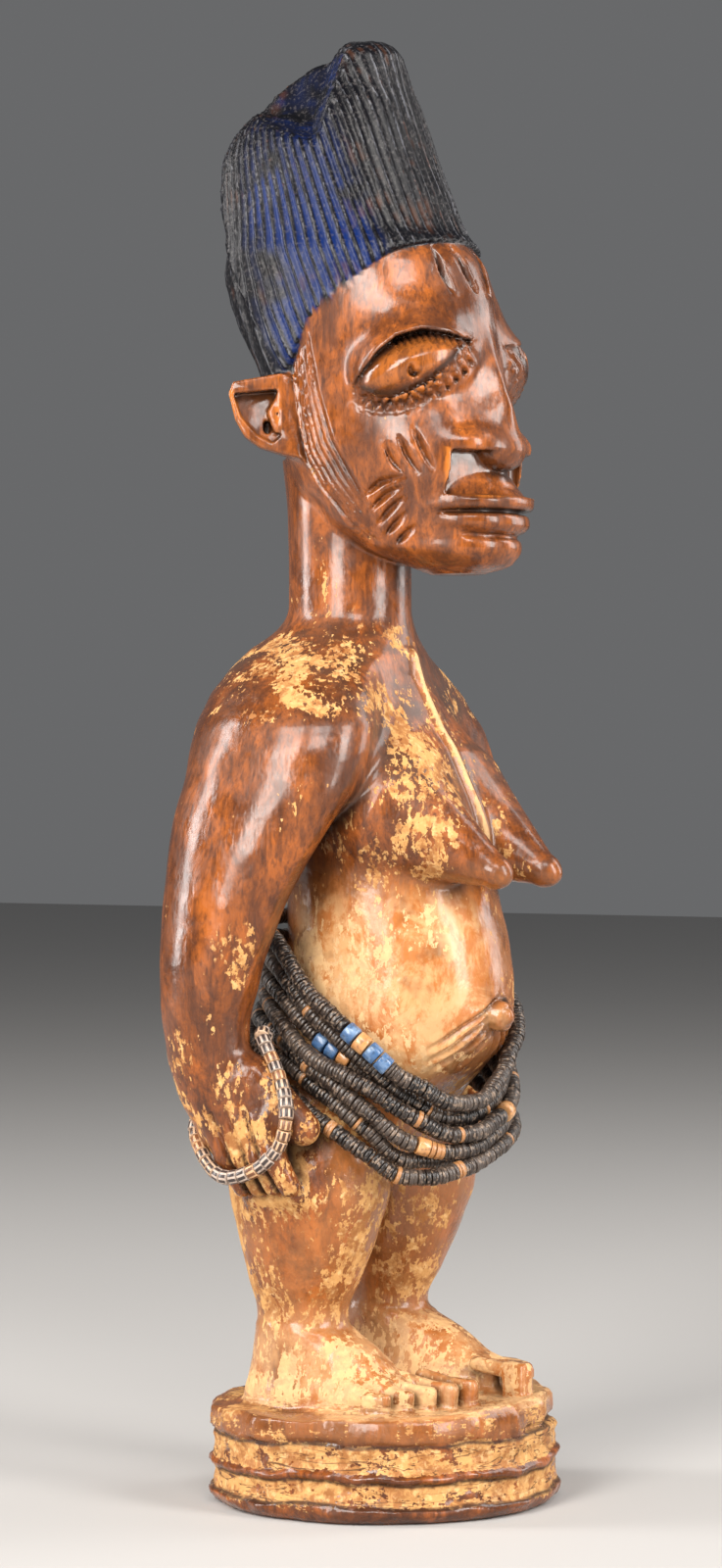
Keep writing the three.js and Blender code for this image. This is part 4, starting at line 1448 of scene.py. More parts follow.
    def regions(self, points: Array, normals: Array) -> dict[Region, Array]:
        """Works out what kind of surface each corner lies on.

        Args:
            points: Corners in parts.
            normals: Outward directions there.

        Returns:
            Shares from 0 to 1 by region.
        """
        x, y, z = points.T
        cavity, ridge = self.hollows_and_ridges(points, normals)
        side = ramp(np.abs(x), 23.5, 26.5) * ramp(z, 52, 58)
        level = np.where(z < 20, self.plinth.level(x, y, z), z)
        crust = read_off(level, self.crust_up) * (1 - side) + read_off(z, self.crust_up_arm) * side
        crust = crust - 0.3 * ramp(y, -24, -30) * (z > 100) - 0.1 * ramp(x, 2, 8) * (z > 100)
        crust = crust - 0.16 * ramp(y, -10, -20) * ramp(z, 80, 88) * ramp(z, 120, 112)
        tan = ramp(z, 74, 84) * ramp(z, 122, 108) * (1 - side) * ramp(y, 14, 4)
        tan = tan * (0.45 + 0.55 * ramp(x, 1, -8))
        feet = ramp(z, 40, 28) * (z > 19)
        tan = np.maximum(tan, (0.42 + 0.33 * feet) * ramp(z, 84, 74) * (1 - side) * (z > 19))
        tan = np.maximum(tan, 0.3 * ramp(level, 14.2, 15.2) * (z < 20))
        # Painted shade: the cavity share darkens hollows in the finish. It is lighter on the feet, and dark
        # lines are added under the edges of the plinth's bands.
        cavity = cavity * (1 - 0.45 * feet)
        for line in (3.1, 7.4, 14.1):
            cavity = np.maximum(cavity, 0.75 * hill(level - line, 0.4) * (z < 17))
        stain = ramp(z, 124, 136) * ramp(z, 170, 160) * (1 - 0.75 * side) * ramp(y, -24, -16)
        # Pale crust along the breastbone's ridge, partly a painted highlight on it.
        breastbone = hill(self.trunk.sternum_gap(x, z), 1.2) * (y < -4)
        breastbone = breastbone * ramp(z, 118, 124) * ramp(z, 162, 158)
        eye = Eye()
        ridge = np.maximum(ridge * (1 - 0.7 * eye.lid_edge(x, y, z)), 0.6 * eye.shine(x, y, z))
        return {
            Region.CRUST: np.maximum(crust, 0.85 * breastbone),
            Region.TAN: np.maximum(tan, breastbone),
            Region.STAIN: stain,
            # Painted shade in the line round the eyeballs, carried in the cavity share.
            Region.CAVITY: np.maximum(cavity, 0.8 * eye.painted_shade_line(x, y, z)),
            Region.RIDGE: ridge,
            **self.plaits(x, y, z),
        }


# Strings and beads


@dataclass(frozen=True)
class Course:
    """A closed line that a string follows.

    Attributes:
        points: Places round the line, in parts, evenly spaced.
    """

    points: Array

    @staticmethod
    def through(places: Array) -> "Course":
        """Spaces a closed run of places evenly."""
        loop = np.vstack([places, places[:1]])
        walked = np.concatenate(([0.0], np.cumsum(np.linalg.norm(np.diff(loop, axis=0), axis=1))))
        steps = np.linspace(0, walked[-1], CURVE_STEPS + 1)[:-1]
        return Course(np.stack([np.interp(steps, walked, loop[:, i]) for i in range(3)], 1))

    @property
    def length(self) -> float:
        """Length of the line."""
        return float(np.linalg.norm(self.points - np.roll(self.points, 1, 0), axis=1).sum())

    def frame(self, share: float) -> tuple[Array, Array]:
        """Gives the place and the direction at a share of the length.

        Args:
            share: The share, which may be past 1 or below 0.

        Returns:
            The place, and the direction with length 1.
        """
        count = len(self.points)
        spot = (share % 1.0) * count
        first, part = int(spot) % count, spot - int(spot)
        here = self.points[first] * (1 - part) + self.points[(first + 1) % count] * part
        along = self.points[(first + 5) % count] - self.points[(first - 4) % count]
        return here, along / np.linalg.norm(along)


def tilted(along: Array, amount: float, dice: np.random.Generator) -> Array:
    """Tilts a direction a little, by chance."""
    along = along + dice.normal(size=3) * amount
    return along / np.linalg.norm(along)


@dataclass
class Beadwork:
    """Gathers beads of one piece into a single mesh.

    Attributes:
        name: Name of the piece.
        sides: Sides of each bead.
    """

    name: str
    sides: int = 16

    def __post_init__(self) -> None:
        """Starts with no beads."""
        self.points: list[Array] = []
        self.faces: list[Array] = []
        self.shades: dict[str, list[Array]] = {"bead": [], "turn_x": [], "turn_y": [], "face": []}
        self.count = 0

    def add(
        self, middle: Array, along: Array, radius: float, length: float, tint: float, edge: float = 0.25
    ) -> None:
        """Adds one turned bead with rounded edges.

        Args:
            middle: Its middle.
            along: Direction of its hole.
            radius: Its radius.
            length: Its length.
            tint: A share that its colour is chosen by.
            edge: Rounding of its rims.
        """
        aside = np.cross(along, (0.0, 0.0, 1.0))
        aside /= np.linalg.norm(aside)
        up = np.cross(aside, along)
        half = length / 2
        edge = min(edge, half * 0.9)
        rise = (
            (0.3 * radius, -half * 0.96),
            (radius - edge, -half),
            (radius - edge * 0.25, -half + edge * 0.3),
            (radius, -half + edge),
        )
        profile = rise + tuple((wide, -deep) for wide, deep in reversed(rise))
        turn = np.arange(self.sides) / self.sides * 2 * np.pi
        for wide, deep in profile:
            ring = middle + deep * along + wide * (np.cos(turn)[:, None] * aside + np.sin(turn)[:, None] * up)
            on_face = 1 - wide / radius if abs(deep) > half - edge * 0.5 else 0.0
            self.points.append(ring)
            self.shades["turn_x"].append(np.cos(turn))
            self.shades["turn_y"].append(np.sin(turn))
            self.shades["face"].append(np.full(self.sides, on_face))
            self.shades["bead"].append(np.full(self.sides, tint))
        start, rows, sides = self.count, len(profile), self.sides
        ring = np.arange(sides)
        after = (ring + 1) % sides
        for row in range(rows - 1):
            low, high = start + row * sides, start + (row + 1) * sides
            self.faces.append(np.stack([low + ring, low + after, high + after, high + ring], 1))
        low, high = start, start + (rows - 1) * sides
        self.faces.append(np.stack([high + ring, high + after, low + after, low + ring], 1))
        self.count += rows * sides

    def build(self) -> bpy.types.Object:
        """Makes the piece, with edges steeper than 50 degrees kept crisp."""
        shades = {name: np.concatenate(values) for name, values in self.shades.items()}
        piece = mesh_piece(self.name, np.concatenate(self.points), np.concatenate(self.faces), shades)
        piece.data.set_sharp_from_angle(angle=math.radians(50.0))
        return piece


@dataclass
class WaistStrings:
    """Seven strings of shell discs, slung low at her front right.

    Attributes:
        block: The hips that they lie against.
        bearings: Bearings from +X, from her right hip round by the front, at which each string is placed.
        heights: Height of each string at those bearings.
        out: How far each string lies outside the common oval there.
        tan_share: Share of each string's groups of discs that are one tan disc.
        glass: Bearing and kinds of the glass beads, by string.
        glass_pitch: Length of string that each glass bead takes.
        hips_middle: Y of the upright line that the strings go round.
    """

    block: Block
    bearings: tuple[float, ...] = (180, 202.5, 225, 247.5, 270, 300, 330, 360, 405, 450, 495)
    heights: Rows = (
        (95.0, 86.8, 79.2, 75.9, 79.2, 88.0, 97.5, 104.9, 108.2, 109.2, 107.1),
        (90.6, 83.0, 76.2, 72.9, 74.8, 82.0, 92.0, 100.5, 104.2, 105.2, 102.7),
        (86.7, 81.0, 73.2, 70.8, 72.5, 79.0, 88.6, 96.3, 100.0, 101.0, 98.6),
        (83.8, 79.2, 73.2, 70.0, 72.2, 76.6, 84.6, 92.0, 96.0, 97.0, 94.2),
        (81.0, 74.8, 68.4, 66.9, 69.4, 73.4, 80.8, 87.8, 91.8, 92.8, 90.0),
        (77.6, 70.8, 65.2, 65.2, 67.6, 71.0, 77.0, 83.5, 87.8, 88.8, 85.7),
        (73.2, 67.0, 62.5, 63.7, 66.3, 69.6, 73.4, 79.3, 83.8, 84.8, 81.5),
    )
    out: Rows = (
        (1.2, 2.0, 2.4, 2.0, 1.2, -0.2, -0.8, 0, 0, 0, 0),
        (-0.6, -1.0, -1.2, -1.3, -1.4, -1.4, -1.0, 0, 0, 0, 0),
        (-2.0, -3.4, -4.4, -4.4, -4.4, -2.0, -0.5, 0, 0, 0, 0),
        (1.0, 1.0, 1.0, 1.0, 0.8, 0.2, -0.2, 0, 0, 0, 0),
        (-0.3, -0.2, 0, 0.2, 0.0, -0.8, -0.6, 0, 0, 0, 0),
        (-1.2, -1.6, -2.8, -3.4, -3.6, -2.6, -0.8, 0, 0, 0, 0),
        (0.7, 0.9, 1.0, 0.9, 0.4, 0.3, 0.2, 0, 0, 0, 0),
    )

    tan_share: tuple[float, ...] = (0.1, 0.32, 0.12, 0.18, 0.3, 0.14, 0.18)
    glass: tuple[tuple[float, tuple[str, ...]], ...] = (
        (204, ("blue", "ochre", "blue", "blue")),
        (0, ()),
        (185, ("blue", "blue", "ochre")),
        (281, ("ochre",)),
        (228, ("ochre",)),
        (0, ()),
        (0, ()),
    )
    glass_pitch: float = 2.7
    hips_middle: float = -1.0

    def course(self, string: int) -> Course:
        """Lays one string round the hips, pushed out where the wood is in its way.

        Args:
            string: Number of the string, from 0 for the highest.

        Returns:
            The line of its middle.
        """
        knots = np.array(self.bearings + (self.bearings[0] + 360,), float)
        wide = np.concatenate([knots[:-1] - 360, knots, knots[1:] + 360])
        turn = np.arange(180, 540, 2.0)

        def looped(values: Sequence[float]) -> Array:
            """Runs a smooth closed line through values at the bearings."""
            closed = np.array(tuple(values) + (values[0],), float)
            return eased(turn, wide, np.concatenate([closed[:-1], closed, closed[1:]]))

        z, out = looped(self.heights[string]), looped(self.out[string])
        angle = np.radians(turn)
        half_x, half_y, middle = 24.2, 22.6, self.hips_middle
        reach = np.hypot((half_x + out) * np.cos(angle), (half_y + out) * np.sin(angle))
        radii = np.arange(8.0, 42.0, 0.35)
        skin = np.zeros_like(reach)
        for lift in (-1.6, 0.0, 1.6):
            ray_x = radii[None, :] * np.cos(angle)[:, None]
            ray_y = middle + radii[None, :] * np.sin(angle)[:, None]
            ray_z = np.broadcast_to((z + lift)[:, None], ray_x.shape)
            rays = np.stack([ray_x, ray_y, ray_z], -1)
            inside = self.block.sample(rays.reshape(-1, 3)).reshape(ray_x.shape) < 0
            skin = np.maximum(skin, np.where(inside, radii[None, :], 0).max(1))
        reach = np.maximum(reach, skin + 1.75)
        for _ in range(3):
            reach = np.maximum(reach, (np.roll(reach, 1) + 2 * reach + np.roll(reach, -1)) / 4)
        places = np.stack([reach * np.cos(angle), middle + reach * np.sin(angle), z], 1)
        return Course.through(places)

    def share_at(self, course: Course, bearing: float) -> float:
        """Gives the share of the length that lies at a bearing."""
        wanted = math.radians(bearing)
        off = np.cos(np.arctan2(course.points[:, 1] - self.hips_middle, course.points[:, 0]) - wanted)
        return float(np.argmax(off)) / len(course.points)

    def build(self) -> list[tuple[bpy.types.Object, str, str]]:
        """Strings the discs and the glass beads.

        Returns:
            Each piece with its CAD node and its material slot.
        """
        totals = {"blue": 0, "ochre": 0}
        made = []
        for string, (bearing, beads) in enumerate(self.glass):
            dice = np.random.default_rng(40 + string)
            course = self.course(string)
            length = course.length
            run = len(beads) * self.glass_pitch
            start = self.share_at(course, bearing) - run / 2 / length
            for i, kind in enumerate(beads):
                totals[kind] += 1
                here, along = course.frame(start + (i + 0.5) * self.glass_pitch / length)
                bead = Beadwork(f"{kind}_glass_{totals[kind]}", 24)
                radius = 1.78 + 0.08 * dice.uniform(-1, 1)
                bead.add(here, along, radius, self.glass_pitch - 0.25, dice.uniform(), 0.3)
                made.append((bead.build(), f"{kind}_bead_{totals[kind]}", f"{kind}_glass"))
            discs = Beadwork(f"shell_discs_{string + 1}", 13)
            self.fill(discs, course, start, run, self.tan_share[string], dice)
            made.append((discs.build(), f"waist_strand_{string + 1}", "shell_disc"))
        return made

    def fill(
        self, discs: Beadwork, course: Course, start: float, run: float, tan: float, dice: np.random.Generator
    ) -> None:
        """Strings shell discs on what the glass beads leave free, in groups of one tint.

        Args:
            discs: Gathers the discs.
            course: The line of the string.
            start: Share of its length at which the glass beads start.
            run: Length that they take.
            tan: Share of the groups that are one tan disc.
            dice: Draws the tints, sizes and tilts.
        """
        length, walked = course.length, run
        group, tint = 0, 0.5
        while walked < length - 0.9:
            if group <= 0:
                group, tint = int(dice.integers(2, 9)), dice.uniform()
                if dice.uniform() < tan:
                    group, tint = 1, 1.2
            group -= 1
            thick = min(float(dice.uniform(0.55, 1.0)), length - walked - 0.1)
            here, along = course.frame(start + (walked + thick / 2) / length)
            along = tilted(along, 0.035, dice)
            here = here + dice.normal(size=3) * 0.05
            radius = 1.56 + 0.09 * dice.uniform(-1, 1) + (0.04 if tint > 1 else 0)
            discs.add(here, along, radius, thick * 0.97, tint + 0.05 * dice.uniform(-1, 1), 0.2)
            walked += thick


@dataclass(frozen=True)
class Bracelet:
    """A loose ring of small striped beads on her right wrist.

    Attributes:
        track: Places that the ring passes through.
        radius: Radius of a bead.
        length: Rough length of a bead.
    """

    track: tuple[Point, ...] = (
        (-31, 6.8, 88), (-33.2, 1, 79.6), (-35.4, -1.4, 74), (-35.8, 0, 68.6), (-36, 4.6, 64.4),
        (-36.6, 10, 62.6), (-35.8, 13.8, 63.2), (-34.3, 17.8, 66.2), (-31.0, 21.9, 70.6),
        (-27.2, 22.4, 75.2), (-25.4, 19, 79.6), (-25, 14, 84.4), (-27.2, 8.8, 88),
    )
    radius: float = 1.36
    length: float = 1.9

    def build(self) -> bpy.types.Object:
        """Strings the striped beads on a smooth line through the track."""
        corners = np.array(self.track, float)
        count = len(corners)
        places = []
        for i in range(count):
            a, b, c, d = (corners[(i + k) % count] for k in (-1, 0, 1, 2))
            for share in np.arange(0, 1, 0.05):
                bend = (2 * a - 5 * b + 4 * c - d) * share**2
                twist = (3 * b - a - 3 * c + d) * share**3
                places.append(0.5 * (2 * b + (c - a) * share + bend + twist))
        course = Course.through(np.array(places))
        dice = np.random.default_rng(71)
        total = int(course.length / self.length)
        size = course.length / total
        beads = Beadwork("striped_beads", 18)
        for i in range(total):
            here, along = course.frame((i + 0.5) / total)
            along = tilted(along, 0.05, dice)
            beads.add(here, along, self.radius * dice.uniform(0.93, 1.03), size * 0.94, dice.uniform(), 0.25)
        return beads.build()


# Finishes


Colour = tuple[float, float, float]
Socket = bpy.types.NodeSocket
Value = Union[Socket, float]
Given = Union[Socket, float, Sequence[float]]

MID_GREY = (0.5, 0.5, 0.5)


class Board:
    """Lays out shader nodes one after another."""

    def __init__(self, tree: bpy.types.NodeTree) -> None:
        """Starts on an empty tree."""
        self.tree = tree
        self.tree.nodes.clear()

    def node(self, kind: str, **settings: object) -> bpy.types.Node:
        """Adds a node of a kind and sets its choices."""
        made = self.tree.nodes.new(kind)
        for name, value in settings.items():
            setattr(made, name, value)
        return made

    def feed(self, socket: Socket, value: Given) -> None:
        """Links an input to a socket, or sets it to a number or a colour.

        Args:
            socket: The input.
            value: What feeds it. A colour without its alpha gets 1 for it.
        """
        if isinstance(value, bpy.types.NodeSocket):
            self.tree.links.new(value, socket)
        elif isinstance(value, (int, float)):
            socket.default_value = value
        else:
            wide = len(socket.default_value)
            socket.default_value = tuple(value) + (1.0,) * (wide - len(value))

    def fill(self, node: bpy.types.Node, **values: Given) -> bpy.types.Node:
        """Feeds a node's named inputs, underscores standing for spaces, and returns it."""
        for name, value in values.items():
            self.feed(node.inputs[name.replace("_", " ")], value)
        return node

    def math(self, operation: str, first: Value, second: Value = 0.0, clamp: bool = False) -> Socket:
        """Adds an operation on one or two values, held within 0 to 1 where it is clamped."""
        made = self.node("ShaderNodeMath", operation=operation, use_clamp=clamp)
        self.feed(made.inputs[0], first)
        self.feed(made.inputs[1], second)
        return made.outputs[0]

    def times(self, first: Value, second: Value) -> Socket:
        """Multiplies two values."""
        return self.math("MULTIPLY", first, second)

    def plus(self, first: Value, second: Value) -> Socket:
        """Adds two values."""
        return self.math("ADD", first, second)

    def minus(self, first: Value, second: Value) -> Socket:
        """Takes the second value from the first."""
        return self.math("SUBTRACT", first, second)

    def mix(self, share: Value, first: Socket | Colour, second: Socket | Colour) -> Socket:
        """Mixes two colours by a share."""
        made = self.node("ShaderNodeMix", data_type="RGBA", blend_type="MIX", clamp_factor=True)
        for place, given in ((0, share), (6, first), (7, second)):
            self.feed(made.inputs[place], given)
        return made.outputs[2]

    def span(self, value: Socket, low: Value, high: Value, start: float = 0.0, end: float = 1.0) -> Socket:
        """Maps a value softly from low..high to start..end."""
        made = self.node("ShaderNodeMapRange", interpolation_type="SMOOTHSTEP", clamp=True)
        for socket, given in zip(made.inputs[:5], (value, low, high, start, end)):
            self.feed(socket, given)
        return made.outputs[0]

    def noise(
        self, place: Socket, scale: Value, detail: float = 3.0, rough: float = 0.55, bend: float = 0.0
    ) -> Socket:
        """Adds a noise of so many wanders per metre.

        Args:
            place: Places on the piece.
            scale: Wanders per metre.
            detail: How many finer noises are laid over it.
            rough: How strong the finer ones are.
            bend: How far it is bent by itself.

        Returns:
            The noise, from 0 to 1.
        """
        made = self.node("ShaderNodeTexNoise")
        self.fill(made, Vector=place, Scale=scale, Detail=detail, Roughness=rough, Distortion=bend)
        return made.outputs[0]

    def stretched(self, place: Socket, scale: Colour) -> Socket:
        """Stretches places along X, Y and Z."""
        return self.fill(self.node("ShaderNodeMapping"), Vector=place, Scale=scale).outputs[0]

    def split(self, place: Socket, part: int) -> Socket:
        """Takes one coordinate of a place."""
        return self.fill(self.node("ShaderNodeSeparateXYZ"), Vector=place).outputs[part]

    def blend(self, share: Value, first: Value, second: Value) -> Socket:
        """Blends two values."""
        return self.plus(first, self.times(share, self.minus(second, first)))

    def shade(self, name: str) -> Socket:
        """Reads a value kept at the mesh's corners."""
        return self.node("ShaderNodeAttribute", attribute_name=name).outputs["Fac"]

    def placed(self, group: bpy.types.NodeTree, **values: Given) -> bpy.types.Node:
        """Places a node group and feeds its inputs, underscores standing for spaces."""
        return self.fill(self.node("ShaderNodeGroup", node_tree=group), **values)


@dataclass(frozen=True)
class Effect:
    """A node group under construction.

    Attributes:
        tree: The group.
        board: Lays out its nodes.
        given: Its named inputs.
    """

    tree: bpy.types.NodeTree
    board: Board
    given: dict[str, Socket]

    @staticmethod
    def named(name: str, takes: dict[str, float | Colour | None], gives: Sequence[str]) -> "Effect":
        """Starts a group with named sockets.

        Args:
            name: Its name.
            takes: Default of each input by name: a number, a colour, or None for a place.
            gives: Name of each output, a value unless it is called Color.

        Returns:
            The group, ready for its nodes.
        """
        tree = bpy.data.node_groups.new(name, "ShaderNodeTree")
        for label, usual in takes.items():
            if usual is None:
                tree.interface.new_socket(label, in_out="INPUT", socket_type="NodeSocketVector")
            elif isinstance(usual, tuple):
                made = tree.interface.new_socket(label, in_out="INPUT", socket_type="NodeSocketColor")
                made.default_value = (*usual, 1.0)
            else:
                made = tree.interface.new_socket(label, in_out="INPUT", socket_type="NodeSocketFloat")
                made.default_value = usual
        for label in gives:
            kind = "NodeSocketColor" if label == "Color" else "NodeSocketFloat"
            tree.interface.new_socket(label, in_out="OUTPUT", socket_type=kind)
        board = Board(tree)
        entry = board.node("NodeGroupInput")
        return Effect(tree, board, {label: entry.outputs[label] for label in takes})

    def give(self, **results: Socket) -> bpy.types.NodeTree:
        """Sends results out, underscores standing for spaces, and returns the group."""
        self.board.fill(self.board.node("NodeGroupOutput"), **results)
        return self.tree


@dataclass
class Effects:
    """The node groups that several finishes share."""

    def __post_init__(self) -> None:
        """Builds each group once."""
        self.patches = self._patches()
        self.hollow_shade = self._hollow_shade()
        self.wear = self._wear()
        self.speckle = self._speckle()

    def _patches(self) -> bpy.types.NodeTree:
        """Builds crusty patches that cover a given share of the surface."""
        made = Effect.named(
            "Crusty patches",
            {"Place": None, "Scale": 90.0, "Amount": 0.5, "Edge": 0.05},
            ("Mask", "Height"),
        )
        board, given = made.board, made.given
        place, scale = given["Place"], given["Scale"]
        broad = board.noise(place, scale, 5.0, 0.66, 0.5)
        fine = board.noise(place, board.times(scale, 8.0), 3.0, 0.7)
        grain = board.noise(board.stretched(place, (1.0, 1.0, 0.14)), board.times(scale, 10.0), 2.0, 0.6)
        ragged = board.plus(broad, board.times(board.minus(fine, 0.5), 0.58))
        ragged = board.plus(ragged, board.times(board.minus(grain, 0.5), 0.26))
        level = board.minus(0.74, board.times(given["Amount"], 0.48))
        mask = board.span(ragged, level, board.plus(level, given["Edge"]))
        return made.give(Mask=mask, Height=board.times(mask, board.plus(0.5, fine)))

    def _hollow_shade(self) -> bpy.types.NodeTree:
        """Builds the painted shade that darkens hollows."""
        made = Effect.named(
            "Grime in hollows",
            {"Color": MID_GREY, "Grime": (0.02, 0.01, 0.005), "Cavity": 0.0, "Amount": 1.0},
            ("Color",),
        )
        board, given = made.board, made.given
        share = board.math("MULTIPLY", board.span(given["Cavity"], 0.05, 0.8), given["Amount"], clamp=True)
        return made.give(Color=board.mix(share, given["Color"], given["Grime"]))

    def _wear(self) -> bpy.types.NodeTree:
        """Builds the rubbed look of proud edges."""
        made = Effect.named(
            "Rubbed edges",
            {"Color": MID_GREY, "Bare": (0.5, 0.2, 0.05), "Ridge": 0.0, "Amount": 1.0},
            ("Color", "Mask"),
        )
        board, given = made.board, made.given
        share = board.math("MULTIPLY", board.span(given["Ridge"], 0.36, 0.9), given["Amount"], clamp=True)
        return made.give(Color=board.mix(share, given["Color"], given["Bare"]), Mask=share)

    def _speckle(self) -> bpy.types.NodeTree:
        """Builds fine specks over a colour."""
        made = Effect.named(
            "Fine specks",
            {"Place": None, "Color": MID_GREY, "Speck": (0.1, 0.1, 0.1), "Scale": 900.0, "Amount": 0.5},
            ("Color", "Mask"),
        )
        board, given = made.board, made.given
        dots = board.node("ShaderNodeTexNoise")
        board.fill(dots, Vector=given["Place"], Scale=given["Scale"], Detail=2.0)
        share = board.times(board.span(dots.outputs[0], 0.52, 0.68), given["Amount"])
        return made.give(Color=board.mix(share, given["Color"], given["Speck"]), Mask=share)


class Finish(Board):
    """The nodes of one material, whose Principled shader is wired to its output.

    Attributes:
        material: The material.
        shader: Its shader.
        effects: The shared node groups.
        place: Places on the piece.
    """

    def __init__(self, name: str, effects: Effects) -> None:
        """Starts the material."""
        self.material = bpy.data.materials.new(name)
        self.material.use_nodes = True
        super().__init__(self.material.node_tree)
        self.effects = effects
        self.shader = self.node("ShaderNodeBsdfPrincipled")
        self.fill(self.node("ShaderNodeOutputMaterial"), Surface=self.shader.outputs[0])
        self.place = self.node("ShaderNodeTexCoord").outputs["Object"]

    def mottle(
        self, scale: float, detail: float, rough: float = 0.55, bend: float = 0.0,
        stretch: Colour | None = None,
    ) -> Socket:
        """Adds a noise over the piece, its places stretched along X, Y and Z where that is asked."""
        place = self.stretched(self.place, stretch) if stretch else self.place
        return self.noise(place, scale, detail, rough, bend)

    def specked(self, ground: Socket, speck: Colour, scale: float, amount: float) -> Socket:
        """Lays fine specks over a colour."""
        group = self.effects.speckle
        made = self.placed(group, Place=self.place, Color=ground, Speck=speck, Scale=scale, Amount=amount)
        return made.outputs["Color"]


@dataclass(frozen=True)
class CarvedWood:
    """Handled wood with a crusty body, satin belly and blue-dyed hair."""

    dark: Colour = (0.040, 0.013, 0.006)
    chestnut: Colour = (0.098, 0.027, 0.007)
    orange: Colour = (0.330, 0.088, 0.014)
    rubbed_edge: Colour = (0.58, 0.175, 0.026)
    crust: Colour = (0.51, 0.268, 0.092)
    crust_shade: Colour = (0.28, 0.11, 0.030)
    crust_fleck: Colour = (0.70, 0.47, 0.22)
    crust_pale: Colour = (0.63, 0.42, 0.225)
    # Colour of the painted shade in hollows.
    crack: Colour = (0.05, 0.018, 0.007)
    hollow_shade: Colour = (0.030, 0.011, 0.005)
    belly: Colour = (0.52, 0.285, 0.125)
    belly_shade: Colour = (0.39, 0.135, 0.034)
    stain: Colour = (0.058, 0.024, 0.012)
    hair_black: Colour = (0.0025, 0.0025, 0.004)
    hair_brown: Colour = (0.085, 0.030, 0.012)
    # Grey of the rubbed crests, partly a painted highlight on them.
    hair_rubbed_sheen: Colour = (0.08, 0.082, 0.095)
    hair_dust: Colour = (0.10, 0.09, 0.09)
    indigo: Colour = (0.002, 0.013, 0.080)

    def wood(self, board: Finish, fibre: Socket) -> Socket:
        """Colours the bare wood: dark in the quiet parts, orange where hands have rubbed it.

        Args:
            board: The material's nodes.
            fibre: The noise of the grain.

        Returns:
            The colour.
        """
        bands = board.mottle(170, 5.0, 0.78, 0.5, (1.0, 1.0, 0.5))
        broad = board.mottle(34, 3.0, 0.6, 0.4)
        wood = board.mix(board.span(bands, 0.36, 0.68), self.chestnut, self.orange)
        wood = board.mix(board.span(broad, 0.58, 0.38, 0.0, 0.55), wood, self.dark)
        ridge = board.shade("ridge")
        worn = board.placed(board.effects.wear, Color=wood, Bare=self.rubbed_edge, Ridge=ridge, Amount=0.66)
        wood = board.mix(board.span(fibre, 0.48, 0.66, 0.0, 0.55), worn.outputs["Color"], self.dark)
        pores = board.mottle(1500, 1.0, 0.5, stretch=(1.0, 1.0, 0.35))
        return board.mix(board.span(pores, 0.56, 0.72, 0.0, 0.5), wood, self.dark)

    def coat(self, board: Finish, side: Socket) -> Socket:
        """Colours the crust, flecked, paler on the belly and cracked on the plinth's side.

        Args:
            board: The material's nodes.
            side: The share to which places lie on the plinth's side.

        Returns:
            The colour.
        """
        tone = board.mottle(240, 4.0, 0.75, 0.3)
        coat = board.mix(board.span(tone, 0.40, 0.58), self.crust_shade, self.crust)
        flecks = board.span(board.mottle(700, 2.0, 0.65), 0.5, 0.72, 0.0, 0.5)
        coat = board.mix(flecks, coat, self.crust_fleck)
        coat = board.mix(board.span(board.shade("tan"), 0.4, 0.9, 0.0, 0.6), coat, self.crust_pale)
        crack = board.mottle(190, 3.0, 0.6, 0.6, (0.3, 0.3, 2.2))
        crack = board.span(board.math("ABSOLUTE", board.minus(crack, 0.5)), 0.016, 0.004)
        return board.mix(board.times(board.times(crack, side), 0.85), coat, self.crack)

    def body(self, board: Finish, wood: Socket) -> tuple[Socket, Socket]:
        """Lays the stain, the rubbed belly and the crust over the wood, and darkens the hollows with painted
        shade.

        Args:
            board: The material's nodes.
            wood: The bare wood's colour.

        Returns:
            The colour and the share of crust.
        """
        tan = board.shade("tan")
        stained = board.span(board.mottle(60, 4.0, 0.7, 0.4), 0.40, 0.56)
        stained = board.times(board.times(stained, board.shade("stain")), 0.85)
        wood = board.mix(stained, wood, self.stain)
        streak = board.mottle(150, 5.0, 0.76, 0.4, (1.0, 1.0, 0.7))
        creamy = board.times(board.span(streak, 0.38, 0.56), board.span(tan, 0.35, 0.85, 0.15, 1.0))
        rubbed = board.mix(creamy, self.belly_shade, self.belly)
        cover = board.span(board.mottle(60, 4.0, 0.75, 0.3), 0.34, 0.52, 0.3, 1.0)
        wood = board.mix(board.times(tan, cover), wood, rubbed)
        worn_off = board.times(board.minus(0.08, board.shade("ridge")), 0.6)
        amount = board.plus(board.shade("crust"), worn_off)
        amount = board.plus(amount, board.times(board.shade("cavity"), 0.12))
        side = board.span(board.split(board.place, 2), 0.0215, 0.0175)
        on_body = board.stretched(board.place, (1.15, 1.2, 0.8))
        on_side = board.stretched(board.place, (1.1, 1.2, 2.1))
        spread = board.mix(side, on_body, on_side)
        patches = board.placed(board.effects.patches, Place=spread, Scale=82, Amount=amount, Edge=0.035)
        crusty = patches.outputs["Mask"]
        mixed = board.mix(crusty, wood, self.coat(board, side))
        # Painted shade: hollows are darkened by how sunk they are.
        cavity = board.shade("cavity")
        hollow_shaded = board.placed(board.effects.hollow_shade, Color=mixed, Grime=self.hollow_shade, Cavity=cavity, Amount=0.95)
        return hollow_shaded.outputs["Color"], crusty

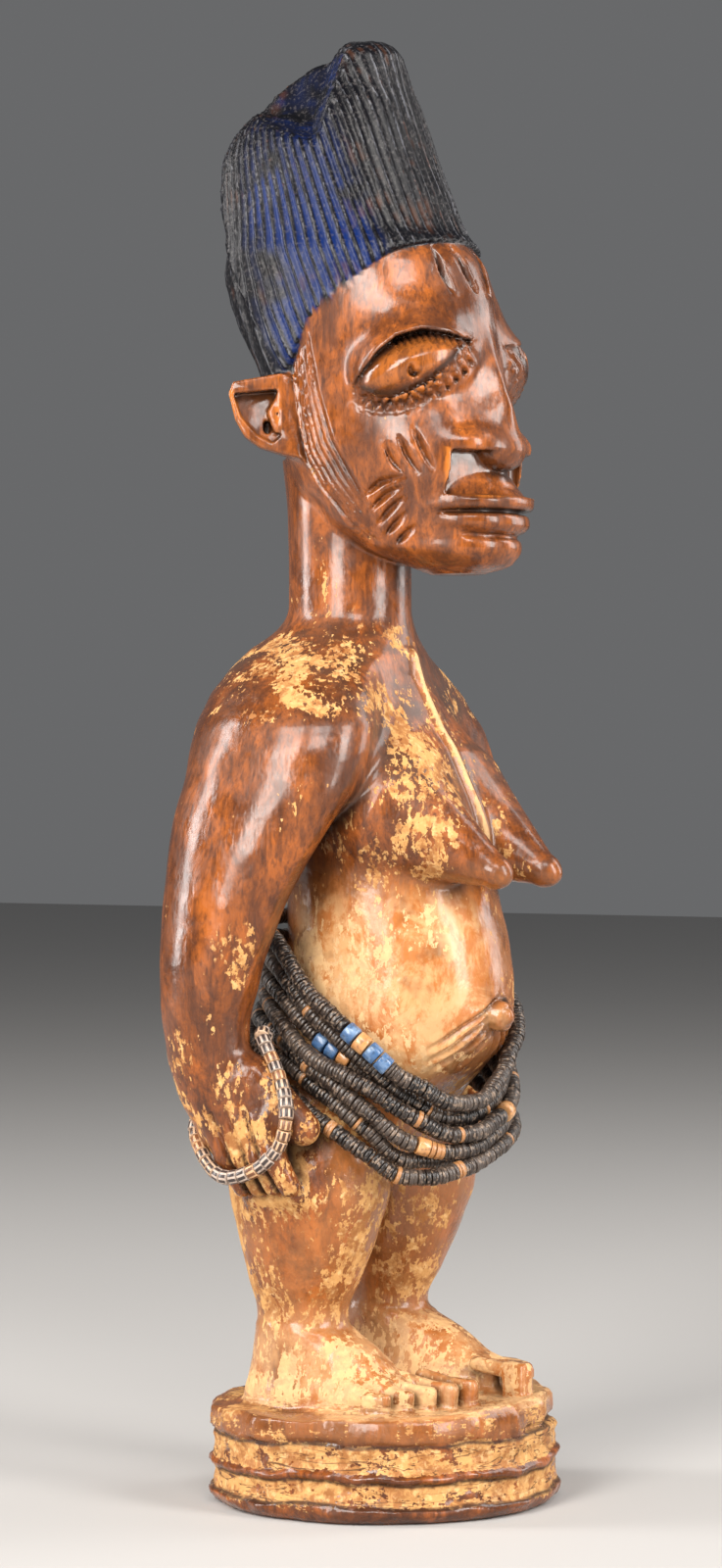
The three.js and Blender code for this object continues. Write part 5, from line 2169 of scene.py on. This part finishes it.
    def hair(self, board: Finish) -> Socket:
        """Colours the plaits: black, blue in the grooves and rubbed grey along the crests, which is partly a
        painted highlight.
        """
        groove = board.shade("groove")
        cloud = board.mottle(55, 3.0, 0.65, 0.3)
        dye = board.times(board.shade("dye"), board.span(cloud, 0.36, 0.54))
        inked = board.mix(board.times(dye, board.span(groove, 0.36, 0.8)), self.hair_black, self.indigo)
        brown = board.span(board.mottle(80, 3.0, 0.6), 0.56, 0.66)
        brown = board.times(brown, board.span(groove, 0.5, 0.9))
        inked = board.mix(board.times(brown, 0.4), inked, self.hair_brown)
        # Grey along the crests: rubbed wear and a painted highlight on them.
        streaks = board.mottle(420, 2.0, 0.7, stretch=(1.0, 1.0, 0.3))
        rubbed = board.times(board.span(groove, 0.34, 0.08), board.span(streaks, 0.38, 0.6))
        worn = board.times(rubbed, board.span(board.shade("cavity"), 0.6, 0.2))
        inked = board.mix(worn, inked, self.hair_rubbed_sheen)
        return board.specked(inked, self.hair_dust, 1500, 0.3)

    def relief(self, board: Finish, fibre: Socket) -> Socket:
        """Gives the height of tool marks, ripples, grain and crust for the bump.

        Args:
            board: The material's nodes.
            fibre: The noise of the grain.

        Returns:
            The height.
        """
        tools = board.times(board.mottle(190, 2.0, 0.5), 2.0)
        ripple = board.mottle(430, 2.0, 0.6, stretch=(1.0, 1.0, 0.6))
        marks = board.plus(tools, board.times(ripple, 0.9))
        marks = board.times(marks, board.span(board.split(board.place, 2), 0.168, 0.180, 1.0, 0.45))
        fine = board.times(board.mottle(900, 2.0, 0.6), board.span(board.shade("crust"), 0.1, 0.5, 0.12, 0.6))
        return board.plus(board.plus(fine, board.times(fibre, 0.3)), marks)

    def build(self, effects: Effects) -> bpy.types.Material:
        """Builds the material with the shared node groups."""
        board = Finish("carved wood", effects)
        fibre = board.mottle(620, 3.0, 0.65, stretch=(1.0, 1.0, 0.1))
        body, crusty = self.body(board, self.wood(board, fibre))
        hair = board.shade("hair")
        not_hair = board.minus(1.0, hair)
        gloss = board.span(board.mottle(120, 3.0, 0.7), 0.38, 0.62, 0.2, 0.42)
        rough = board.plus(gloss, board.times(crusty, 0.4))
        rough = board.plus(rough, board.times(board.shade("stain"), 0.18))
        rough = board.minus(rough, board.times(board.span(board.shade("ridge"), 0.3, 0.7), 0.12))
        bump = board.node("ShaderNodeBump")
        board.fill(bump, Strength=0.5, Distance=0.0004, Height=self.relief(board, fibre))
        board.fill(
            board.shader,
            Base_Color=board.mix(hair, body, self.hair(board)),
            Roughness=board.plus(board.times(rough, not_hair), board.times(hair, 0.36)),
            Coat_Weight=board.times(board.times(not_hair, board.minus(1.0, crusty)), 0.36),
            Coat_Roughness=0.14,
            Specular_IOR_Level=board.blend(hair, 0.28, 0.2),
            Normal=bump.outputs[0],
        )
        return board.material


@dataclass(frozen=True)
class BeadFinish:
    """A finish of small beads: a ground colour under fine specks.

    Attributes:
        name: Name of the material.
        speck: Colour of the specks.
        scale: Specks per metre.
        amount: How strongly they show.
        roughness: Roughness of the whole.
    """

    name: str = "bead"
    speck: Colour = MID_GREY
    scale: float = 1000
    amount: float = 0.5
    roughness: float = 0.34

    def ground(self, board: Finish) -> Socket:
        """Gives the colour under the specks; each finish has its own."""
        raise NotImplementedError

    def build(self, effects: Effects) -> bpy.types.Material:
        """Builds the material with the shared node groups."""
        board = Finish(self.name, effects)
        worn = board.specked(self.ground(board), self.speck, self.scale, self.amount)
        board.fill(board.shader, Base_Color=worn, Roughness=self.roughness)
        return board.material


@dataclass(frozen=True)
class ShellDisc(BeadFinish):
    """Worn coconut shell, dark brown to grey, with a few tan discs."""

    name: str = "shell disc"
    speck: Colour = (0.34, 0.24, 0.17)
    scale: float = 1300

    def ground(self, board: Finish) -> Socket:
        """Colours each disc by its tint, the tan ones by a tint above 1."""
        tint = board.shade("bead")
        colour = board.mix(board.span(tint, 0.05, 0.45), (0.010, 0.007, 0.006), (0.026, 0.017, 0.013))
        colour = board.mix(board.span(tint, 0.55, 0.9), colour, (0.055, 0.040, 0.032))
        return board.mix(board.span(tint, 1.05, 1.12), colour, (0.33, 0.15, 0.055))


@dataclass(frozen=True)
class BeadGlass(BeadFinish):
    """Opaque glass, streaked and slightly pitted."""

    speck: Colour = (0.03, 0.03, 0.035)
    scale: float = 1100
    amount: float = 0.45
    roughness: float = 0.24
    colour: Colour = MID_GREY
    pale: Colour = MID_GREY

    def ground(self, board: Finish) -> Socket:
        """Streaks the glass with its pale colour."""
        streak = board.span(board.mottle(420, 3.0), 0.45, 0.65, 0.0, 0.6)
        return board.mix(streak, self.colour, self.pale)


@dataclass(frozen=True)
class StripedBead(BeadFinish):
    """Small glass cylinders with pale and dark stripes along them."""

    name: str = "striped bead"
    speck: Colour = (0.06, 0.03, 0.02)
    scale: float = 1200
    stripes: float = 8.0

    def ground(self, board: Finish) -> Socket:
        """Stripes each bead along its length, with a pale ring at its ends."""
        turn = board.math("ARCTAN2", board.shade("turn_y"), board.shade("turn_x"))
        tint = board.shade("bead")
        wave = board.math("SINE", board.plus(board.times(turn, self.stripes), board.times(tint, 9.0)))
        ends = board.span(board.shade("face"), 0.0, 0.08)
        stripe = board.math("MAXIMUM", board.span(wave, 0.1, 0.5), ends)
        dark = board.mix(board.span(tint, 0.5, 0.95), (0.035, 0.024, 0.022), (0.17, 0.062, 0.022))
        pale = board.mix(board.span(tint, 0.2, 0.8), (0.42, 0.33, 0.27), (0.50, 0.30, 0.16))
        return board.mix(stripe, dark, pale)


# Studio


@dataclass(frozen=True)
class Lamp:
    """A soft lamp aimed at the figure.

    Attributes:
        bearing: Bearing in degrees from the camera's side, positive to the picture's right.
        height: Height above the floor in metres.
        away: Distance over the floor in metres.
        size: Width and height of its face in metres.
        power: Power in watts.
        warmth: Colour of its light.
        aim: Height that it points at.
    """

    bearing: float
    height: float
    away: float
    size: tuple[float, float]
    power: float
    warmth: Colour = (1.0, 1.0, 1.0)
    aim: float = 0.15


@dataclass(frozen=True)
class Studio:
    """A pale floor, soft lamps and the camera.

    Attributes:
        azimuth: Bearing of the camera from straight ahead of the figure, in degrees.
        away: Distance of the camera in parts.
        height: Its height in parts.
        aside: How far the frame's middle lies left of the figure's axis, in parts.
        lens: Focal length in millimetres on a sensor 36 high.
    """

    azimuth: float = -57.0
    away: float = 770.0
    height: float = 134.5
    aside: float = 4.5
    lens: float = 93.56
    lamps: tuple[Lamp, ...] = (
        Lamp(-29, 0.55, 0.95, (0.36, 0.9), 18.0, (1.0, 0.96, 0.91)),
        Lamp(54, 0.45, 0.95, (0.30, 0.8), 12.5, (1.0, 0.97, 0.93)),
        Lamp(8, 0.85, 0.85, (0.4, 0.3), 5.0, (1.0, 0.97, 0.94)),
        Lamp(112, 0.45, 0.8, (0.3, 0.8), 4.0, (1.0, 0.97, 0.95)),
        Lamp(-92, 0.45, 0.9, (0.2, 0.8), 8.5, (1.0, 0.97, 0.95)),
    )

    def floor(self, effects: Effects) -> bpy.types.Object:
        """Makes the pale floor."""
        half = 3e3
        corners = np.array([[-half, -half, 0], [half, -half, 0], [half, half, 0], [-half, half, 0]])
        piece = mesh_piece("floor", corners, np.array([[0, 1, 2, 3]]))
        board = Finish("pale floor", effects)
        board.fill(board.shader, Base_Color=(0.44, 0.43, 0.42), Roughness=0.75)
        piece.data.materials.append(board.material)
        piece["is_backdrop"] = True
        return piece

    def light(self) -> None:
        """Hangs the lamps and sets the sky."""
        for i, lamp in enumerate(self.lamps):
            turn = math.radians(self.azimuth + lamp.bearing)
            data = bpy.data.lights.new(f"lamp_{i + 1}", "AREA")
            data.shape, data.size, data.size_y = "RECTANGLE", lamp.size[0], lamp.size[1]
            data.energy, data.color = lamp.power, lamp.warmth
            hung = bpy.data.objects.new(f"lamp_{i + 1}", data)
            hung.location = (math.sin(turn) * lamp.away, -math.cos(turn) * lamp.away, lamp.height)
            aim = Vector((0, 0, lamp.aim)) - hung.location
            hung.rotation_euler = aim.to_track_quat("-Z", "Y").to_euler()
            bpy.context.scene.collection.objects.link(hung)
        world = bpy.data.worlds.new("studio")
        world.use_nodes = True
        sky = world.node_tree.nodes["Background"]
        sky.inputs["Color"].default_value = (0.82, 0.83, 0.85, 1)
        sky.inputs["Strength"].default_value = 0.17
        bpy.context.scene.world = world
        bpy.context.scene.view_settings.view_transform = "Standard"

    def camera(self) -> bpy.types.Object:
        """Stands the camera where the photograph was taken from."""
        data = bpy.data.cameras.new("camera")
        data.lens, data.sensor_width, data.sensor_fit = self.lens, 36.0, "AUTO"
        data.clip_start, data.clip_end = 0.01, 20
        stood = bpy.data.objects.new("camera", data)
        turn = math.radians(self.azimuth)
        ahead = np.array((-math.sin(turn), math.cos(turn), 0.0))
        right = np.array((math.cos(turn), math.sin(turn), 0.0))
        place = -ahead * self.away - right * self.aside
        stood.location = (place[0] * PART, place[1] * PART, self.height * PART)
        stood.rotation_euler = Vector(ahead).to_track_quat("-Z", "Y").to_euler()
        bpy.context.scene.collection.objects.link(stood)
        bpy.context.scene.camera = stood
        return stood


def corners(box: tuple[Vector, Vector]) -> list[list[float]]:
    """Turns a pair of corners into plain lists."""
    return [[float(value) for value in corner] for corner in box]


def dress(piece: bpy.types.Object, node: str, slot: str, material: bpy.types.Material) -> None:
    """Gives a piece its finish and lets it stand for a CAD node.

    Args:
        piece: The piece.
        node: The CAD node that it replaces.
        slot: Its material slot. Not used.
        material: Its finish.
    """
    piece.data.materials.clear()
    piece.data.materials.append(material)
    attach(piece, "root")
    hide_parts(node)
    log.info("%s stands for %s", piece.name, node)


def main() -> None:
    """Builds the figure, its strings and bracelet, and the studio."""
    logging.basicConfig(level=logging.INFO, format="%(name)s: %(message)s")
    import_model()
    before = corners(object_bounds())
    effects = Effects()
    blue = BeadGlass("blue glass", colour=(0.045, 0.105, 0.225), pale=(0.20, 0.29, 0.42))
    ochre = BeadGlass("ochre glass", colour=(0.46, 0.21, 0.075), pale=(0.62, 0.36, 0.17))
    finishes = {
        "carved_wood": CarvedWood().build(effects),
        "shell_disc": ShellDisc().build(effects),
        "blue_glass": blue.build(effects),
        "ochre_glass": ochre.build(effects),
        "striped_bead": StripedBead().build(effects),
    }
    figure = Figure()
    dress(figure.build(), "figure", "carved_wood", finishes["carved_wood"])
    for piece, node, slot in WaistStrings(figure.hips).build():
        dress(piece, node, slot, finishes[slot])
    dress(Bracelet().build(), "wrist_bracelet", "striped_bead", finishes["striped_bead"])
    studio = Studio()
    studio.floor(effects)
    studio.light()
    studio.camera()
    log.info("studio is ready")
    {"before": before, "after": corners(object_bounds())}


if __name__ == "__main__":
    main()
